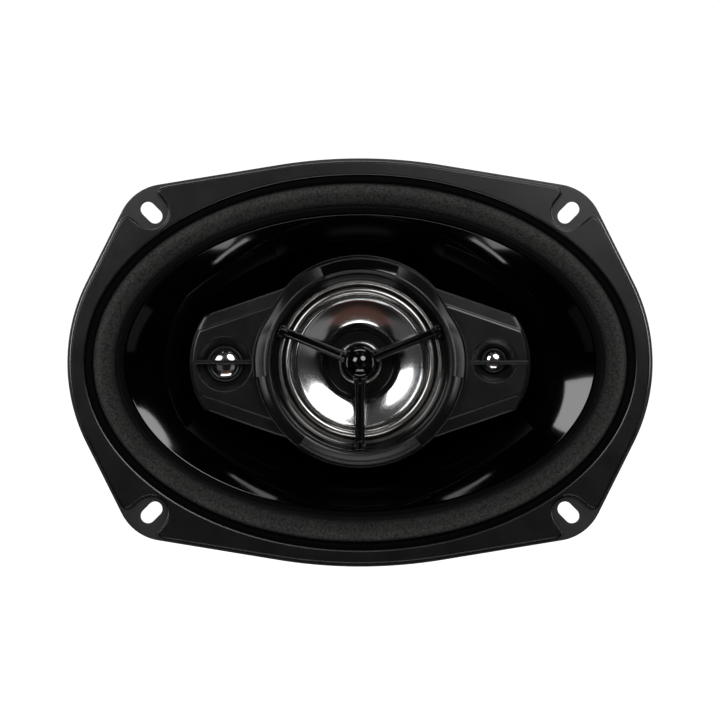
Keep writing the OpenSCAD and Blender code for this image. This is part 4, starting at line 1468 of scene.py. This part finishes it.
@dataclass
class MidDriver:
    """The mid-range driver in the bezel: film surround, bright cone, silver ring."""

    cone_r: float = 26.6
    roll: Point = (26.8, 30.6)
    roll_z: float = 6.6
    film: float = 0.4

    def surround(self) -> Piece:
        """A flat rim, a half-round roll and a glued lip.

        Returns:
            The surround.
        """
        middle, half = sum(self.roll) / 2, (self.roll[1] - self.roll[0]) / 2
        outer = arc((middle, self.roll_z), half + self.film, 8, 176, 17)
        inner = arc((middle, self.roll_z), half, 176, 6, 17)
        line = np.concatenate([
            [(33.9, 6.25), (33.9, 6.65), (32.2, 6.75), (31.4, 6.75)], outer,
            [(26.2, 7.0), (26.2, 6.62)], inner, [(middle + half + 0.1, 6.28)],
        ])
        return weld("mid_film_surround", [solid(soften(line, 0.15, 2), steps=144)], crease=50)

    def cone(self) -> Piece:
        """The dished cone, on a smooth curve through its stations, with a raised bead near its rim.

        Returns:
            The cone.
        """
        top = np.array([
            (self.cone_r, 6.2), (26.0, 6.2), (25.6, 6.5), (25.2, 6.2), (23.1, 5.89), (21.0, 5.53), (18.9, 5.09),
            (17.2, 4.66), (15.9, 4.26), (15.3, 3.8), (14.7, 2.2), (14.1, 0.7),
        ])
        under = np.array([
            (14.1, 0.2), (14.6, 0.8), (15.4, 2.9), (16.6, 4.0), (20.2, 5.0), (25.6, 5.8), (self.cone_r, 5.8),
        ])
        line = np.concatenate([soften(top, 0.9, 4, closed=False), under])
        return weld("mid_dish", [solid(line, steps=144)], crease=50)

    def neck_shade_ring(self) -> Piece:
        """The dark ring that joins the cone's neck to its coil: painted shade, a near black piece put over the coil
        where the recess lies in shadow.
        """
        profile = soften([
            (15.6, 4.25), (15.0, 3.1), (14.4, 2.1), (13.6, 1.62), (13.3, 1.55),
            (13.3, 1.3), (14.2, 1.3), (14.9, 2.5), (15.4, 3.9),
        ], 0.15, 2)
        return weld("mid_neck_shade_ring", [solid(profile, steps=144)])

    def build(self) -> None:
        """Makes and dresses the driver's visible pieces."""
        dress(self.cone(), METAL_FILM, ["mid_cone"], "mid")
        # Painted shade: a near black ring that stands where the recess behind the cone lies in shadow.
        dress(self.neck_shade_ring(), DARK_RECESS, body="mid")
        surround = dress(self.surround(), ROLL_FILM, ["mid_surround"], None)
        bend(surround, "mid", lambda p: (self.roll[1] - np.hypot(p[:, 0], p[:, 1])) / (self.roll[1] - self.roll[0]))
        ring = soften([(6.9, 0.05), (9.1, 0.05), (8.95, 1.5), (8.1, 2.2), (7.2, 1.8), (6.9, 1.1)], 0.5, 4)
        dress(weld("silver_plug_ring", [solid(ring)]), NICKEL, ["plug_ring"])


@dataclass
class DomeDriver:
    """A small dome driver: a bright thin dome in a dark ring."""

    name: str
    place: Point
    radius: float
    rise: float
    flatness: float = 0.29
    foil: float = 0.3

    def dome(self) -> Piece:
        """A short upright wall with half an ellipsoid on it, closed at its pole: radius sin t, crown cos t.

        Returns:
            The dome.
        """
        t = np.radians(np.linspace(90, 0, 28))
        crown = self.flatness * self.radius
        side = 1.2 + self.rise - crown
        within = self.radius - self.foil
        outer = np.stack([self.radius * np.sin(t), side + crown * np.cos(t)], -1)
        inner = np.stack([within * np.sin(t), side - self.foil + crown * np.cos(t)], -1)[::-1]
        line = np.concatenate([[(self.radius, 1.2), (self.radius, side - 0.2)], outer, inner, [(within, 1.2)]])
        return weld(self.name + "_shell", [solid(line, steps=72, centre=self.place)], crease=60)

    def ring(self) -> Piece:
        """The rounded ring round the dome.

        Returns:
            The ring.
        """
        r = self.radius
        profile = soften([(r + 0.3, 0.65), (r + 1.4, 0.65), (r + 1.4, 1.4), (r + 0.95, 1.95), (r + 0.35, 1.6)], 0.3, 3)
        return weld(self.name + "_trim_ring", [solid(profile, steps=72, centre=self.place)])

    def build(self) -> None:
        """Makes and dresses the dome and its ring."""
        dress(self.dome(), DOME_FOIL, [self.name + "_dome"], self.name)
        dress(self.ring(), TRIM_SATIN, [self.name + "_ring"])


@dataclass
class Studio:
    """Camera, soft lights and a plain pale floor."""

    distance: float = 1.2
    field: float = 0.2888
    flange_front: float = 0.004
    aim_height: float = 0.0006
    floor_z: float = -0.22
    floor_half: float = 30
    floor_glow: float = 1.1
    sky_glow: float = 1.05
    fill: float = 0.002

    def camera(self) -> None:
        """A long lens straight in front, whose picture is as tall as the field at the flange."""
        data = bpy.data.cameras.new("camera")
        data.sensor_width = 36
        data.lens = 36 * (self.distance - self.flange_front) / self.field
        camera = bpy.data.objects.new("camera", data)
        camera.location = (0, -self.distance, self.aim_height)
        camera.rotation_euler = (np.pi / 2, 0, 0)
        bpy.context.scene.collection.objects.link(camera)
        bpy.context.scene.camera = camera

    def lamp(
        self, name: str, place: tuple[float, float, float], size: Point, power: float,
        round_edge: bool = False, colour: Colour = (1, 1, 1), roll: float = 0,
    ) -> None:
        """A soft box that faces the speaker, rolled by so many degrees about the line to it.

        Args:
            name: the lamp's name.
            place: where it stands, in metres.
            size: its width and height in metres.
            power: its power in watts.
            round_edge: whether it is an ellipse.
            colour: its colour.
            roll: the roll in degrees.
        """
        data = bpy.data.lights.new(name, "AREA")
        data.shape = "ELLIPSE" if round_edge else "RECTANGLE"
        data.size, data.size_y, data.energy, data.color = *size, power, colour
        lamp = bpy.data.objects.new(name, data)
        lamp.location = place
        level = (-lamp.location).to_track_quat("-Z", "Y").to_matrix()
        lamp.rotation_euler = (level @ Matrix.Rotation(np.radians(roll), 3, "Z")).to_euler()
        lamp.visible_camera = False
        bpy.context.scene.collection.objects.link(lamp)

    def floor(self) -> None:
        """A wide pale floor that the glossy parts don't mirror."""
        mesh = bpy.data.meshes.new("floor")
        corners = np.array([(-1, -1), (1, -1), (1, 1), (-1, 1)]) * self.floor_half
        mesh.from_pydata([(x, y, self.floor_z) for x, y in corners.tolist()], [], [(0, 1, 2, 3)])
        floor = bpy.data.objects.new("floor", mesh)
        bpy.context.scene.collection.objects.link(floor)
        pale = bpy.data.materials.new("pale_floor")
        pale.use_nodes = True
        shader = pale.node_tree.nodes["Principled BSDF"]
        shader.inputs["Base Color"].default_value = (0.85, 0.85, 0.86, 1)
        shader.inputs["Roughness"].default_value = 0.9
        shader.inputs["Emission Color"].default_value = (1, 1, 1, 1)
        shader.inputs["Emission Strength"].default_value = self.floor_glow
        mesh.materials.append(pale)
        floor.visible_glossy = False
        floor.visible_diffuse = False
        floor.visible_shadow = False

    def sky(self) -> None:
        """White behind the speaker as the camera sees it, and a dim even fill for everything else."""
        world = bpy.data.worlds.new("studio")
        bpy.context.scene.world = world
        world.use_nodes = True
        tree = world.node_tree
        dim = tree.nodes["Background"]
        dim.inputs["Color"].default_value = (self.fill, self.fill, self.fill, 1)
        white = tree.nodes.new("ShaderNodeBackground")
        white.inputs["Strength"].default_value = self.sky_glow
        white.inputs["Color"].default_value = (1, 1, 1, 1)
        ray = tree.nodes.new("ShaderNodeLightPath")
        mix = tree.nodes.new("ShaderNodeMixShader")
        tree.links.new(ray.outputs["Is Camera Ray"], mix.inputs[0])
        tree.links.new(dim.outputs[0], mix.inputs[1])
        tree.links.new(white.outputs[0], mix.inputs[2])
        tree.links.new(mix.outputs[0], tree.nodes["World Output"].inputs[0])

    def build(self) -> None:
        """Sets up the studio."""
        scene = bpy.context.scene
        scene.view_settings.view_transform = "Standard"
        scene.view_settings.look = "None"
        self.camera()
        self.floor()
        self.sky()
        self.lamp("left_softbox", (-0.438, -1.03, 0.263), (0.3, 0.34), 2.1, roll=-22)
        self.lamp("right_softbox", (0.28, -1.08, 0.39), (0.42, 0.44), 3.1, round_edge=True)
        self.lamp("top_strip", (0, -0.35, 1.0), (0.9, 0.16), 1.8)
        self.lamp("left_strip", (-1.1, -0.25, 0), (0.12, 0.8), 1.2)
        self.lamp("right_strip", (1.1, -0.25, 0), (0.12, 0.8), 1.2)
        self.lamp("low_strip", (0, -0.92, -0.70), (0.6, 0.2), 1.3)
        for side in (-1, 1):
            self.lamp("low_card", (side * 0.32, -0.83, -0.81), (0.15, 0.04), 0.08, roll=side * 26)
            self.lamp("high_card", (side * 0.24, -0.82, 0.83), (0.15, 0.035), 0.035, roll=side * -22)
            self.lamp("dish_card", (side * 0.36, -1.1, -0.22), (0.3, 0.3), 0.032 + 0.013 * side)
            self.lamp("side_softbox", (side * 1.25, 0.35, 0.3), (0.9, 0.9), 8)
            self.lamp("rear_softbox", (side * 0.7, 1.1, 0.45), (0.7, 1.0), 10)
        self.lamp("warm_card", (0, -1.08, -0.46), (0.6, 0.26), 0.033, colour=(1.0, 0.42, 0.30))
        self.lamp("low_edge_strip", (0, -0.3, -1.0), (0.9, 0.08), 0.9)
        self.lamp("rear_top_softbox", (0, 0.8, 1.2), (1.4, 0.6), 9)


def dress_hidden_nodes() -> None:
    """Gives every CAD node that still shows the finish of its own material slot."""
    parts = frame["record"].get("subparts", [])
    slots = {part["node"]: part.get("material_slot") or part.get("material") for part in parts}
    for name, node in frame["nodes"].items():
        if node.hide_render:
            continue
        finish = NODE_FINISHES.get(slots.get(name, ""), DARK_RECESS)
        node.data.materials.clear()
        node.data.materials.append(finish.material())
        log.info("%s keeps its CAD shape, %s", name, finish.name)


def main() -> None:
    """Builds the speaker from the basket forwards, then the studio."""
    logging.basicConfig(level=logging.INFO, format="%(message)s")
    for part in (
        Studio(), Basket(), Motor(), Woofer(), Terminals(), Bridge(), MidDriver(),
        DomeDriver("tweeter", TWEETER_AT, 5.9, 3.6), DomeDriver("super_tweeter", SUPER_TWEETER_AT, 3.6, 2.4),
    ):
        part.build()
    dress_hidden_nodes()


if __name__ == "__main__":
    main()
